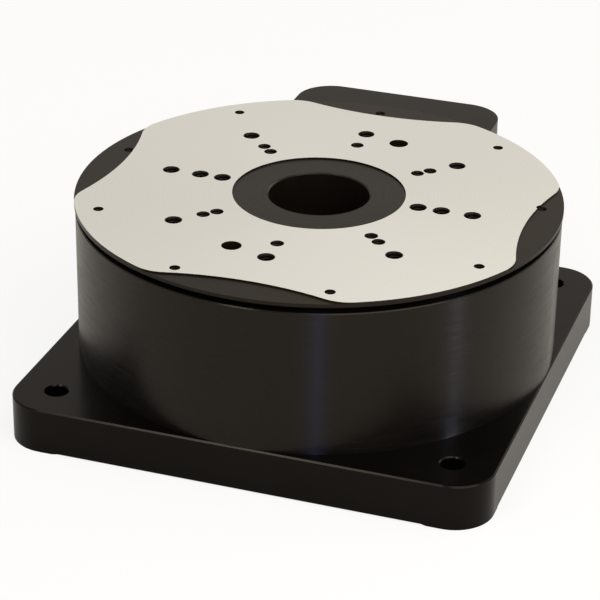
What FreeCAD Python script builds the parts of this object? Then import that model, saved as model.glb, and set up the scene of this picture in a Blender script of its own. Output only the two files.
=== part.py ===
import FreeCAD, Part
import math
import os

import Sketcher

# A low direct-drive rotary stage. The frame has +Z up the rotation axis, +Y towards the
# connector box and +X along the front edge of the base. The origin is on the rotation
# axis at the underside of the four feet.

# Driving dimensions in millimetres, angles in degrees.
SIZES = {
    # base plate and its underside
    "foot_height": 0.4,
    "foot_overhang": 0.5,
    "plate_thick": 14.3,
    "plate_margin": 0.3,
    "plate_corner_radius": 12.7,
    "plate_edge_chamfer": 0.45,
    "web_thick": 4.0,
    "pocket_clearance": 1.6,
    "mount_inset": 13.5,
    "mount_hole_radius": 3.6,
    "mount_hole_chamfer": 0.4,
    # bottom cover
    "cover_thick": 2.0,
    "cover_sink": 0.2,
    "cover_screw_margin": 0.25,
    "cover_side_gap": 0.1,
    "cover_bore_gap": 1.5,
    "cover_screw_count": 6,
    "cover_screw_grip": 8.0,
    # centre bore, shaft and hub
    "bore_radius": 16.0,
    "bore_chamfer": 0.4,
    "shaft_wall": 9.0,
    "shaft_rise": 1.0,
    "shoulder_width": 4.5,
    "flange_gap": 1.0,
    "flange_thick": 7.3,
    "flange_width": 3.7,
    "spigot_wall": 11.35,
    "spigot_gap": 0.05,
    # crossed roller bearing
    "bearing_fit": 0.02,
    "bearing_width": 13.0,
    "bearing_section": 15.0,
    "roller_offset": 7.0,
    "ring_gap": 0.8,
    "roller_radius": 2.5,
    "roller_shortfall": 0.1,
    "roller_gap": 0.03,
    "rollers_each_way": 15,
    "spacer_radius": 2.2,
    "spacer_thick": 1.0,
    # bearing carrier, retainer and locknut
    "carrier_seat_height": 16.3,
    "carrier_seat_width": 3.5,
    "carrier_wall": 6.0,
    "carrier_screw_count": 6,
    "carrier_screw_grip": 9.0,
    "retainer_thick": 3.0,
    "retainer_screw_count": 12,
    "retainer_screw_grip": 6.0,
    "locknut_height": 7.0,
    "locknut_fit": 0.07,
    "locknut_width": 6.2,
    "spanner_hole_radius": 2.0,
    "spanner_hole_depth": 4.0,
    # motor
    "rotor_clearance": 1.5,
    "yoke_wall": 4.8,
    "yoke_below_magnets": 1.0,
    "yoke_screw_count": 12,
    "yoke_screw_grip": 8.0,
    "glue_gap": 0.05,
    "magnet_thick": 2.95,
    "magnet_count": 28,
    "magnet_fill": 0.85,
    "air_gap": 0.7,
    "core_depth": 14.3,
    "core_fit": 0.2,
    "core_height": 20.0,
    "core_seat_height": 7.3,
    "core_seat_width": 4.5,
    "core_teeth": 24,
    "tooth_width": 7.0,
    "tooth_tip": 2.0,
    "slot_mouth": 2.4,
    "core_back": 5.9,
    "coil_thick": 3.0,
    "coil_fit": 0.1,
    "coil_corner": 1.6,
    # drum housing
    "drum_wall": 6.2,
    "drum_chamfer": 0.3,
    "drum_screw_count": 8,
    "drum_screw_grip": 6.0,
    "drum_screw_sink": 5.6,
    "lip_wall": 3.0,
    "lip_clearance": 2.3,
    # rotary table
    "table_gap": 2.2,
    "table_side_gap": 0.5,
    "table_overhang": 0.3,
    "boss_thick": 8.4,
    "rim_thick": 1.1,
    "land_height": 0.5,
    "scallop_depth": 10.15,
    "scallop_radius": 97.0,
    "land_corner_radius": 12.7,
    "table_screw_count": 8,
    "table_screw_grip": 6.0,
    # mounting holes in the table
    "hole_chamfer": 0.25,
    "six_tap_radius": 2.5,
    "six_tap_depth": 8.5,
    "five_tap_radius": 2.1,
    "five_tap_depth": 8.0,
    "four_tap_radius": 1.65,
    "four_tap_depth": 7.0,
    "opening_wall": 2.6,
    "inner_wall": 2.5,
    "ring_wall": 5.0,
    "square_wall": 0.445,
    "ring_hole_count": 8,
    "edge_hole_inset": 7.0,
    "edge_hole_count": 9,
    "edge_hole_angle": 11.0,
    "access_hole_radius": 3.1,
    "access_hole_step": 2.15,
    "access_hole_angle": 75.0,
    # encoder
    "grating_height": 6.0,
    "grating_clearance": 0.5,
    "grating_bore_gap": 0.5,
    "grating_hub_width": 7.5,
    "grating_rim": 3.0,
    "grating_web": 3.0,
    "grating_screw_count": 6,
    "grating_screw_grip": 8.0,
    "reading_gap": 0.8,
    "readhead_length": 12.0,
    "readhead_width": 14.0,
    "readhead_height": 5.8,
    "readhead_window": 0.5,
    "bracket_thick": 1.5,
    "bracket_length": 13.0,
    "bracket_ear": 2.5,
    "bracket_setback": 1.5,
    "bracket_screw_grip": 3.0,
    # connector box
    "box_width": 71.6,
    "box_reach": 21.0,
    "box_drop": 0.5,
    "box_corner_radius": 12.45,
    "box_fit": 0.1,
    "box_wall": 3.0,
    "box_floor": 2.5,
    "box_front_wall": 3.5,
    "box_rear_wall": 5.0,
    "box_cavity_corner": 6.0,
    "box_screw_spacing": 26.0,
    "box_screw_level": 11.3,
    "box_screw_below_lip": 3.0,
    "box_screw_grip": 5.0,
    "passage_width": 16.0,
    "lead_passage_height": 5.5,
    "lead_passage_below_lip": 1.4,
    "cable_passage_height": 3.2,
    "cable_passage_rise": 0.2,
    "panel_side": 2.35,
    "panel_end": 5.65,
    "panel_thick": 2.0,
    "panel_fit": 0.1,
    "panel_screw_inset": 2.8,
    "panel_screw_grip": 2.6,
    "panel_window_margin": 5.0,
    # plug connectors
    "plug_pitch": 16.0,
    "plug_flange_height": 12.5,
    "plug_flange_thick": 0.8,
    "plug_collar_height": 7.9,
    "plug_collar_length": 5.8,
    "plug_collar_wall": 0.4,
    "plug_collar_slant": 1.4,
    "plug_fit": 0.05,
    "plug_rear_length": 5.0,
    "plug_rear_height": 9.0,
    "contact_pitch": 2.77,
    "contact_row_gap": 2.84,
    "contact_radius": 0.55,
    "contact_depth": 4.5,
    "contact_end": 2.63,
    "motor_contacts": 5,
    "feedback_contacts": 8,
    "plug_lock_step": 4.33,
    "plug_flange_end": 2.9,
    "lock_nut_length": 5.0,
    "lock_nut_radius": 2.7,
    "lock_thread_radius": 1.3,
    # screws: cap screws and flat head screws by thread size
    "thread_fit": 0.03,
    "screw_clearance": 0.25,
    "head_clearance": 0.3,
    "socket_share": 0.5,
    "m4_radius": 2.0,
    "m4_head_radius": 3.5,
    "m4_head_height": 4.0,
    "m4_socket_radius": 1.73,
    "m3_radius": 1.5,
    "m3_head_radius": 2.75,
    "m3_head_height": 3.0,
    "m3_socket_radius": 1.44,
    "m25_radius": 1.25,
    "m25_head_radius": 2.25,
    "m25_head_height": 2.5,
    "m25_socket_radius": 1.15,
    "m2_radius": 1.0,
    "m2_head_radius": 1.9,
    "m2_head_height": 2.0,
    "m2_socket_radius": 0.86,
    "flat_head_slope": 1.2,
    "flat_socket_depth": 0.9,
    # how far a cut starts outside the face that it enters
    "run_out": 1.0,
}

doc = FreeCAD.newDocument("rotary_stage")
sheet = doc.addObject("Spreadsheet::Sheet", "Dims")
for row, (alias, size) in enumerate(SIZES.items(), start=1):
    sheet.set(f"A{row}", alias)
    sheet.set(f"B{row}", str(size))
    sheet.setAlias(f"B{row}", alias)
doc.recompute()

# Heights above the feet, as expressions of the driving dimensions.
PLATE_TOP = "(Dims.foot_height + Dims.plate_thick)"
POCKET_TOP = f"({PLATE_TOP} - Dims.web_thick)"
COVER_BOTTOM = "(Dims.foot_height + Dims.cover_sink)"
COVER_TOP = f"({COVER_BOTTOM} + Dims.cover_thick)"
BEARING_SEAT = f"({PLATE_TOP} + Dims.carrier_seat_height)"
BEARING_MIDDLE = f"({BEARING_SEAT} + Dims.bearing_width / 2)"
BEARING_TOP = f"({BEARING_SEAT} + Dims.bearing_width)"
RETAINER_TOP = f"({BEARING_TOP} + Dims.retainer_thick)"
FLANGE_BOTTOM = f"({RETAINER_TOP} + Dims.flange_gap)"
FLANGE_TOP = f"({FLANGE_BOTTOM} + Dims.flange_thick)"
RIM_BOTTOM = f"({FLANGE_TOP} + Dims.boss_thick)"
RIM_TOP = f"({RIM_BOTTOM} + Dims.rim_thick)"
LAND_TOP = f"({RIM_TOP} + Dims.land_height)"
DRUM_TOP = f"({RIM_BOTTOM} - Dims.table_gap)"
LIP_FLOOR = f"({FLANGE_TOP} - Dims.lip_clearance)"
CORE_BOTTOM = f"({PLATE_TOP} + Dims.core_seat_height)"
CORE_TOP = f"({CORE_BOTTOM} + Dims.core_height)"
COIL_REACH = "(Dims.coil_thick + Dims.coil_fit)"
SHAFT_BOTTOM = f"({POCKET_TOP} + Dims.shaft_rise)"
GRATING_BOTTOM = f"({SHAFT_BOTTOM} - Dims.grating_height)"
BRACKET_BOTTOM = f"({POCKET_TOP} - Dims.bracket_thick)"
READHEAD_BOTTOM = f"({BRACKET_BOTTOM} - Dims.readhead_height)"
BOX_TOP = f"({DRUM_TOP} - Dims.box_drop)"
BOX_CAVITY_FLOOR = f"({PLATE_TOP} + Dims.box_floor)"
BOX_CAVITY_TOP = f"({BOX_TOP} - Dims.box_wall)"
PANEL_MIDDLE = f"(({BOX_TOP} + {PLATE_TOP}) / 2)"

# Radii from the rotation axis, from the bore outwards.
BEARING_BORE = "(Dims.bore_radius + Dims.shaft_wall)"
SHAFT_RADIUS = f"({BEARING_BORE} - Dims.bearing_fit)"
SHOULDER_RADIUS = f"({BEARING_BORE} + Dims.shoulder_width)"
ROLLER_CIRCLE = f"({BEARING_BORE} + Dims.roller_offset)"
BEARING_OUTSIDE = f"({BEARING_BORE} + Dims.bearing_section)"
CARRIER_BORE = f"({BEARING_OUTSIDE} + Dims.bearing_fit)"
CARRIER_SEAT = f"({BEARING_OUTSIDE} - Dims.carrier_seat_width)"
CARRIER_OUTSIDE = f"({BEARING_OUTSIDE} + Dims.carrier_wall)"
YOKE_INSIDE = f"({CARRIER_OUTSIDE} + Dims.rotor_clearance)"
YOKE_OUTSIDE = f"({YOKE_INSIDE} + Dims.yoke_wall)"
FLANGE_RADIUS = f"({YOKE_OUTSIDE} + Dims.flange_width)"
MAGNET_INSIDE = f"({YOKE_OUTSIDE} + Dims.glue_gap)"
MAGNET_OUTSIDE = f"({MAGNET_INSIDE} + Dims.magnet_thick)"
CORE_INSIDE = f"({MAGNET_OUTSIDE} + Dims.air_gap)"
CORE_OUTSIDE = f"({CORE_INSIDE} + Dims.core_depth)"
DRUM_INSIDE = f"({CORE_OUTSIDE} + Dims.core_fit)"
CORE_SEAT = f"({DRUM_INSIDE} - Dims.core_seat_width)"
DRUM_OUTSIDE = f"({DRUM_INSIDE} + Dims.drum_wall)"
LIP_RADIUS = f"({DRUM_OUTSIDE} - Dims.lip_wall)"
BOSS_RADIUS = f"({LIP_RADIUS} - Dims.table_side_gap)"
TABLE_RADIUS = f"({DRUM_OUTSIDE} + Dims.table_overhang)"
PLATE_HALF = f"({DRUM_OUTSIDE} + Dims.plate_margin)"
SPIGOT_RADIUS = "(Dims.bore_radius + Dims.spigot_wall)"
TABLE_OPENING = f"({SPIGOT_RADIUS} + Dims.spigot_gap)"
COVER_LEDGE = "(2 * (Dims.m3_head_radius + Dims.cover_screw_margin))"
COVER_BORE = "(Dims.bore_radius + Dims.cover_bore_gap)"
GRATING_BORE = "(Dims.bore_radius + Dims.grating_bore_gap)"
GRATING_HUB = f"({GRATING_BORE} + Dims.grating_hub_width)"
GRATING_OUTSIDE = f"({CARRIER_SEAT} - Dims.grating_clearance)"

# Circles of the table's holes, from the opening outwards.
INNER_PAIR = f"({TABLE_OPENING} + Dims.opening_wall + Dims.six_tap_radius)"
CROSS_HOLES = f"({INNER_PAIR} + 2 * Dims.six_tap_radius + Dims.inner_wall)"
SQUARE_HOLES = f"({CROSS_HOLES} - 2 * Dims.five_tap_radius - Dims.square_wall)"
RING_HOLES = f"({CROSS_HOLES} + 2 * Dims.six_tap_radius + Dims.ring_wall)"
ACCESS_HOLES = f"({RING_HOLES} - Dims.access_hole_step)"
EDGE_HOLES = f"({TABLE_RADIUS} - Dims.edge_hole_inset)"

# Screw circles, each in the middle of the wall that the screws hold.
CARRIER_SCREWS = f"(({CARRIER_SEAT} + {CARRIER_OUTSIDE}) / 2)"
RETAINER_SCREWS = f"(({CARRIER_BORE} + {CARRIER_OUTSIDE}) / 2)"
YOKE_SCREWS = f"(({YOKE_INSIDE} + {YOKE_OUTSIDE}) / 2)"
TABLE_SCREWS = f"(({SHOULDER_RADIUS} + {YOKE_INSIDE}) / 2)"
DRUM_SCREWS = f"(({DRUM_INSIDE} + {DRUM_OUTSIDE}) / 2)"
GRATING_SCREWS = f"(({GRATING_BORE} + {GRATING_HUB}) / 2)"
SPANNER_HOLES = f"({BEARING_BORE} + Dims.locknut_width / 2)"


def collar_width(contacts):
    """Width of a plug connector's collar from the number of contacts in its longer row."""
    return f"(({contacts} - 1) * Dims.contact_pitch + 2 * Dims.contact_end)"


def lock_spacing(contacts):
    return f"({collar_width(contacts)} + 2 * Dims.plug_lock_step)"


def flange_width(contacts):
    return f"({lock_spacing(contacts)} + 2 * Dims.plug_flange_end)"


# Where the connector box stands behind the drum.
BOX_HALF = "(Dims.box_width / 2)"
BOX_REAR = f"({PLATE_HALF} + Dims.box_reach)"
BOX_FRONT_RADIUS = f"({DRUM_OUTSIDE} + Dims.box_fit)"
BOX_CAVITY_FRONT = f"({DRUM_OUTSIDE} + Dims.box_front_wall)"
BOX_CAVITY_REAR = f"({BOX_REAR} - Dims.box_rear_wall)"
PANEL_INSIDE = f"({BOX_REAR} - Dims.panel_thick)"
PANEL_WIDTH = f"({flange_width('Dims.feedback_contacts')} + 2 * Dims.panel_side)"
PANEL_HEIGHT = "(Dims.plug_pitch + Dims.plug_flange_height + 2 * Dims.panel_end)"
BOX_SCREW_X = "(Dims.box_screw_spacing / 2)"
BOX_SCREW_LOW = f"({PLATE_TOP} + Dims.box_screw_level)"
BOX_SCREW_HIGH = f"({LIP_FLOOR} - Dims.box_screw_below_lip)"
PANEL_SCREW_X = f"({PANEL_WIDTH} / 2 - Dims.panel_screw_inset)"
PANEL_SCREW_RISE = f"({PANEL_HEIGHT} / 2 - Dims.panel_screw_inset)"

# The bearing's rollers stand in a square channel set on its corner.
CHANNEL_HALF = "((Dims.roller_radius + Dims.roller_gap) * sqrt(2))"
RING_HALF_GAP = "(Dims.ring_gap / 2)"

# Each tooth of the motor core widens inside this radius.
TOOTH_NECK = f"({CORE_INSIDE} + Dims.tooth_tip)"

# Where the grating's screws and the locknut's setscrews are.
GRATING_SEAT = f"({GRATING_BOTTOM} + Dims.m3_head_height + Dims.head_clearance)"
SETSCREW_LEVEL = f"({BEARING_SEAT} - Dims.locknut_height / 2)"

# The readhead stands on its bracket on the +X side of the grating.
READHEAD_FRONT = f"({GRATING_OUTSIDE} + Dims.reading_gap)"
READHEAD_MIDDLE = f"({READHEAD_FRONT} + Dims.readhead_length / 2)"
READHEAD_SEAT = f"({READHEAD_BOTTOM} + Dims.m2_head_height + Dims.head_clearance)"
READHEAD_SCREW = (READHEAD_MIDDLE, "Dims.readhead_width / 4")
BRACKET_FRONT = f"({CARRIER_SEAT} + Dims.bracket_setback)"
BRACKET_REAR = f"({BRACKET_FRONT} + Dims.bracket_length)"
BRACKET_SCREW_Y = "(Dims.readhead_width / 2 + Dims.m25_head_radius + Dims.screw_clearance)"
BRACKET_SCREW = (f"({BRACKET_FRONT} + {BRACKET_REAR}) / 2", BRACKET_SCREW_Y)
BRACKET_SIDE = f"({BRACKET_SCREW_Y} + Dims.bracket_ear)"

# The pocket in the underside clears the bracket's corners, and the cover rests around it.
POCKET_RADIUS = f"(sqrt({BRACKET_REAR}^2 + {BRACKET_SIDE}^2) + Dims.pocket_clearance)"
COVER_RADIUS = f"({POCKET_RADIUS} + {COVER_LEDGE})"
COVER_SCREWS = f"({POCKET_RADIUS} + {COVER_LEDGE} / 2)"


def both_sides(places):
    """Give places on the +X side together with their mirror images."""
    return list(places) + [(f"0 - {across}", up) for across, up in places]


# The screws of the connector box and of its panel lie along Y, at these X and Z.
BOX_SCREWS = both_sides([(BOX_SCREW_X, BOX_SCREW_LOW), (BOX_SCREW_X, BOX_SCREW_HIGH)])
PANEL_SCREWS = both_sides([(PANEL_SCREW_X, f"{PANEL_MIDDLE} - {PANEL_SCREW_RISE}"),
                           (PANEL_SCREW_X, f"{PANEL_MIDDLE} + {PANEL_SCREW_RISE}")])

# Each plug connector: label, contacts in its longer row, and whether it stands above or
# below the middle of the panel.
PLUGS = (("motor", "Dims.motor_contacts", "+"), ("feedback", "Dims.feedback_contacts", "-"))


def number(expression):
    """Give the value of an expression with the sheet's present sizes."""
    result = sheet.evalExpression(expression)
    return float(getattr(result, "Value", result))


def new_body(label):
    """Start a sub-part; a group of separate fasteners is one body too."""
    body = doc.addObject("PartDesign::Body", label)
    body.Label = label
    body.AllowCompound = True
    return body


def origin_feature(body, role):
    return next(item for item in body.Origin.OriginFeatures if item.Role == role)


def attach(feature, body, role, offset, turn=None):
    """Put a feature on an origin plane; turn swings it about the plane's own upward axis."""
    feature.AttachmentSupport = [(origin_feature(body, role), "")]
    feature.MapMode = "FlatFace"
    if turn is not None:
        upward = FreeCAD.Vector(0, 1, 0)
        feature.AttachmentOffset = FreeCAD.Placement(FreeCAD.Vector(), FreeCAD.Rotation(upward, 1))
        feature.setExpression("AttachmentOffset.Rotation.Angle", f"({turn}) * 1 deg")
    for axis, expression in zip("xyz", offset):
        if expression != "0":
            feature.setExpression(f"AttachmentOffset.Base.{axis}", expression)


def cylinder(body, kind, name, radius, low, high, at=("0", "0"), role="XY_Plane"):
    """Add or cut a cylinder along the normal of an origin plane, from low to high."""
    feature = body.newObject(f"PartDesign::{kind}Cylinder", name)
    attach(feature, body, role, (at[0], at[1], low))
    feature.setExpression("Radius", radius)
    feature.setExpression("Height", f"({high}) - ({low})")
    return feature


def cone(body, kind, name, radii, low, high, at=("0", "0"), role="XY_Plane"):
    """Add or cut a cone whose first radius is at its low end."""
    feature = body.newObject(f"PartDesign::{kind}Cone", name)
    attach(feature, body, role, (at[0], at[1], low))
    feature.setExpression("Radius1", radii[0])
    feature.setExpression("Radius2", radii[1])
    feature.setExpression("Height", f"({high}) - ({low})")
    return feature


def hexagon(body, kind, name, radius, low, high, at, role="XY_Plane"):
    """Add or cut a six-sided prism; radius is to its corners."""
    feature = body.newObject(f"PartDesign::{kind}Prism", name)
    attach(feature, body, role, (at[0], at[1], low))
    feature.Polygon = 6
    feature.setExpression("Circumradius", radius)
    feature.setExpression("Height", f"({high}) - ({low})")
    return feature


def block(body, kind, name, low, high):
    """Add or cut a box between two corners."""
    feature = body.newObject(f"PartDesign::{kind}Box", name)
    attach(feature, body, "XY_Plane", low)
    for side, near, far in zip(("Length", "Width", "Height"), low, high):
        feature.setExpression(side, f"({far}) - ({near})")
    return feature


def outline(body, name, corners, role="XZ_Plane", level="0", turn=None):
    """Sketch a closed outline of straight lines, each corner held at its own two sizes."""
    sketch = body.newObject("Sketcher::SketchObject", name)
    attach(sketch, body, role, ("0", "0", level), turn)
    add_polygon(sketch, corners)
    return sketch


def add_polygon(sketch, corners):
    """Add a closed polygon to a sketch."""
    first = sketch.GeometryCount
    places = [FreeCAD.Vector(number(across), number(up), 0) for across, up in corners]
    for index, place in enumerate(places):
        sketch.addGeometry(Part.LineSegment(place, places[(index + 1) % len(places)]), False)
    for index in range(len(places)):
        following = first + (index + 1) % len(places)
        sketch.addConstraint(Sketcher.Constraint("Coincident", first + index, 2, following, 1))
    for index, (across, up) in enumerate(corners):
        hold(sketch, "DistanceX", first + index, 1, across, places[index].x)
        hold(sketch, "DistanceY", first + index, 1, up, places[index].y)


def discs(body, kind, name, radius, low, high, places):
    """Add or cut equal cylinders along the XZ plane's normal, at several places at once."""
    circles = [(across, up, radius) for across, up in places]
    if kind == "Additive":
        feature = body.newObject("PartDesign::Pad", name)
        level = low
    else:
        feature = body.newObject("PartDesign::Pocket", name)
        level = high
    feature.Profile = disc_sketch(body, f"{name}_places", circles, "XZ_Plane", level)
    feature.setExpression("Length", f"({high}) - ({low})")
    body.Tip = feature
    return feature


def hold(sketch, kind, geometry, point, expression, start):
    """Fix one coordinate of a sketch point, bound to an expression."""
    rule = sketch.addConstraint(Sketcher.Constraint(kind, -1, 1, geometry, point, start))
    sketch.setExpression(f"Constraints[{rule}]", expression)


def disc_sketch(body, name, circles, role="XY_Plane", level="0", turn=None):
    """Sketch circles, each given as its centre's two sizes and its radius."""
    sketch = body.newObject("Sketcher::SketchObject", name)
    attach(sketch, body, role, ("0", "0", level), turn)
    for index, (across, up, radius) in enumerate(circles):
        centre = FreeCAD.Vector(number(across), number(up), 0)
        circle = Part.Circle(centre, FreeCAD.Vector(0, 0, 1), number(radius))
        sketch.addGeometry(circle, False)
        hold(sketch, "DistanceX", index, 3, across, centre.x)
        hold(sketch, "DistanceY", index, 3, up, centre.y)
        rule = sketch.addConstraint(Sketcher.Constraint("Radius", index, number(radius)))
        sketch.setExpression(f"Constraints[{rule}]", radius)
    return sketch


def turned(body, name, corners):
    """Turn a section of (radius, height) corners about the rotation axis."""
    section = outline(body, f"{name}_section", corners)
    feature = body.newObject("PartDesign::Revolution", name)
    feature.Profile = section
    feature.ReferenceAxis = (section, ["V_Axis"])
    feature.Angle = 360
    return feature


def around(body, originals, count):
    """Repeat features evenly about the rotation axis, several at once only if upright."""
    pattern = body.newObject("PartDesign::PolarPattern", f"{originals[0].Name}_around")
    pattern.Originals = originals
    pattern.Axis = (origin_feature(body, "Z_Axis"), [""])
    pattern.Angle = 360
    pattern.setExpression("Occurrences", str(count))
    body.Tip = pattern
    return pattern


def mirrored(body, originals):
    """Repeat upright features on the other side of the XZ plane."""
    mirror = body.newObject("PartDesign::Mirrored", f"{originals[0].Name}_mirrored")
    mirror.Originals = originals
    mirror.MirrorPlane = (origin_feature(body, "XZ_Plane"), [""])
    body.Tip = mirror
    return mirror


def polar(radius, angle):
    """Give the X and Y expressions of a place at a radius and an angle in degrees."""
    return (f"{radius} * cos(({angle}) * 1 deg)", f"{radius} * sin(({angle}) * 1 deg)")


def cap_screw(body, tag, thread, seat, length, points_up, at):
    """Add an upright socket cap screw whose head bears at seat, and give its features."""
    head = f"Dims.{thread}_head_height"
    depth = f"{head} * Dims.socket_share"
    if points_up:
        shank_ends = (seat, f"{seat} + {length}")
        head_ends = (f"{seat} - {head}", seat)
        socket_ends = (f"{seat} - {head}", f"{seat} - {head} + {depth}")
    else:
        shank_ends = (f"{seat} - {length}", seat)
        head_ends = (seat, f"{seat} + {head}")
        socket_ends = (f"{seat} + {head} - {depth}", f"{seat} + {head}")
    return [
        cylinder(body, "Additive", f"{tag}_head", f"Dims.{thread}_head_radius", *head_ends, at),
        cylinder(body, "Additive", f"{tag}_shank", f"Dims.{thread}_radius", *shank_ends, at),
        hexagon(body, "Subtractive", f"{tag}_socket", f"Dims.{thread}_socket_radius",
                *socket_ends, at),
    ]


def flat_head_height(thread):
    """Height of a countersunk head, from its wide end to the shank."""
    return f"((Dims.{thread}_head_radius - Dims.{thread}_radius) * Dims.flat_head_slope)"


def flat_screw(body, tag, thread, face, length, points_up, at):
    """Add an upright flat head screw, its head flush with face, and give its features."""
    wide = f"Dims.{thread}_head_radius"
    narrow = f"Dims.{thread}_radius"
    head = flat_head_height(thread)
    if points_up:
        head_ends = (face, f"{face} + {head}")
        radii = (wide, narrow)
        shank_ends = (f"{face} + {head}", f"{face} + {length}")
        socket_ends = (face, f"{face} + Dims.flat_socket_depth")
    else:
        head_ends = (f"{face} - {head}", face)
        radii = (narrow, wide)
        shank_ends = (f"{face} - {length}", f"{face} - {head}")
        socket_ends = (f"{face} - Dims.flat_socket_depth", face)
    return [
        cone(body, "Additive", f"{tag}_head", radii, *head_ends, at),
        cylinder(body, "Additive", f"{tag}_shank", narrow, *shank_ends, at),
        hexagon(body, "Subtractive", f"{tag}_socket", f"Dims.{thread}_socket_radius",
                *socket_ends, at),
    ]


def flat_seat(body, tag, thread, face, points_up, at, role="XY_Plane"):
    """Cut the countersink that a flat head screw sits in."""
    wide = f"Dims.{thread}_head_radius + Dims.thread_fit"
    narrow = f"Dims.{thread}_radius + Dims.thread_fit"
    head = flat_head_height(thread)
    if points_up:
        return cone(body, "Subtractive", tag, (wide, narrow), face, f"{face} + {head}", at, role)
    return cone(body, "Subtractive", tag, (narrow, wide), f"{face} - {head}", face, at, role)


def hole(body, tag, radius, low, high, at=("0", "0"), role="XY_Plane"):
    return cylinder(body, "Subtractive", tag, radius, low, high, at, role)


def tapped(thread):
    return f"Dims.{thread}_radius + Dims.thread_fit"


def clearance(thread):
    return f"Dims.{thread}_radius + Dims.screw_clearance"


def head_space(thread):
    return f"Dims.{thread}_head_radius + Dims.head_clearance"


def edges_where(feature, test):
    """Name the edges of a feature's solid that pass a test."""
    return [f"Edge{index}" for index, edge in enumerate(feature.Shape.Edges, start=1) if test(edge)]


def is_upright(edge):
    box = edge.BoundBox
    return box.XLength < 1e-4 and box.YLength < 1e-4 and box.ZLength > 1e-3


def round_edges(body, base, test, radius, name):
    """Fillet the edges of the newest feature that pass a test."""
    doc.recompute()
    fillet = body.newObject("PartDesign::Fillet", name)
    fillet.Base = (base, edges_where(base, test))
    fillet.setExpression("Radius", radius)
    return fillet


def make_base_plate():
    """Square plate with four low round feet, a pocket below and the bearing opening."""
    body = new_body("base_plate")
    near = f"0 - {PLATE_HALF}"
    blank = block(body, "Additive", "blank", (near, near, "0"), (PLATE_HALF, PLATE_HALF, PLATE_TOP))
    rounded = round_edges(body, blank, is_upright, "Dims.plate_corner_radius", "corners")
    doc.recompute()
    top = number(PLATE_TOP)
    chamfer = body.newObject("PartDesign::Chamfer", "top_edge")
    chamfer.Base = (rounded, edges_where(rounded, lambda edge: edge.BoundBox.ZMin > top - 1e-4))
    chamfer.setExpression("Size", "Dims.plate_edge_chamfer")

    # The feet are what is left standing when the rest of the underside is relieved.
    half = f"({PLATE_HALF} - Dims.mount_inset)"
    foot = "Dims.mount_inset + Dims.foot_overhang"
    outside = f"({PLATE_HALF} + Dims.run_out)"
    inside = f"(0 - {outside})"
    relief = disc_sketch(body, "relief_outline", [
        (f"{side_x} {half}", f"{side_y} {half}", foot)
        for side_x in ("0 +", "0 -") for side_y in ("0 +", "0 -")])
    add_polygon(relief, [(inside, inside), (outside, inside), (outside, outside), (inside, outside)])
    pocket = body.newObject("PartDesign::Pocket", "relief")
    pocket.Profile = relief
    pocket.Reversed = True
    pocket.setExpression("Length", "Dims.foot_height")

    low = "0 - Dims.run_out"
    hole(body, "pocket", POCKET_RADIUS, low, POCKET_TOP)
    hole(body, "cover_recess", f"{COVER_RADIUS} + Dims.cover_side_gap", low, COVER_TOP)
    hole(body, "opening", CARRIER_SEAT, low, f"{PLATE_TOP} + Dims.run_out")

    corner = (half, half)
    mount = [
        hole(body, "mount_hole", "Dims.mount_hole_radius", low, f"{PLATE_TOP} + Dims.run_out", corner),
        cone(body, "Subtractive", "mount_chamfer",
             ("Dims.mount_hole_radius", "Dims.mount_hole_radius + Dims.mount_hole_chamfer"),
             f"{PLATE_TOP} - Dims.mount_hole_chamfer", PLATE_TOP, corner),
    ]
    around(body, mount, 4)

    at = polar(DRUM_SCREWS, "180 / Dims.drum_screw_count")
    seat = "Dims.foot_height + Dims.drum_screw_sink"
    drum = [
        hole(body, "drum_screw_hole", clearance("m4"), low, f"{PLATE_TOP} + Dims.run_out", at),
        hole(body, "drum_screw_head", head_space("m4"), low, seat, at),
    ]
    around(body, drum, "Dims.drum_screw_count")

    at = polar(CARRIER_SCREWS, "180 / Dims.carrier_screw_count")
    carrier = hole(body, "carrier_screw_hole", clearance("m4"), low, f"{PLATE_TOP} + Dims.run_out", at)
    around(body, [carrier], "Dims.carrier_screw_count")

    at = polar(COVER_SCREWS, "180 / Dims.cover_screw_count")
    cover = hole(body, "cover_screw_hole", tapped("m3"), low,
                 f"{COVER_TOP} + Dims.cover_screw_grip + Dims.thread_fit", at)
    around(body, [cover], "Dims.cover_screw_count")

    bracket = hole(body, "bracket_hole", tapped("m25"), low,
                   f"{POCKET_TOP} + Dims.bracket_screw_grip + Dims.thread_fit",
                   BRACKET_SCREW)
    mirrored(body, [bracket])


def make_bottom_cover():
    body = new_body("bottom_cover")
    turned(body, "disc", [
        (COVER_BORE, COVER_BOTTOM), (COVER_RADIUS, COVER_BOTTOM),
        (COVER_RADIUS, COVER_TOP), (COVER_BORE, COVER_TOP)])
    at = polar(COVER_SCREWS, "180 / Dims.cover_screw_count")
    cuts = [
        hole(body, "screw_hole", tapped("m3"), f"{COVER_BOTTOM} - Dims.run_out",
             f"{COVER_TOP} + Dims.run_out", at),
        flat_seat(body, "screw_seat", "m3", COVER_BOTTOM, True, at),
    ]
    around(body, cuts, "Dims.cover_screw_count")


def make_cover_screws():
    body = new_body("cover_screws")
    at = polar(COVER_SCREWS, "180 / Dims.cover_screw_count")
    length = "(Dims.cover_thick + Dims.cover_screw_grip)"
    screw = flat_screw(body, "screw", "m3", COVER_BOTTOM, length, True, at)
    around(body, screw, "Dims.cover_screw_count")


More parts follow.
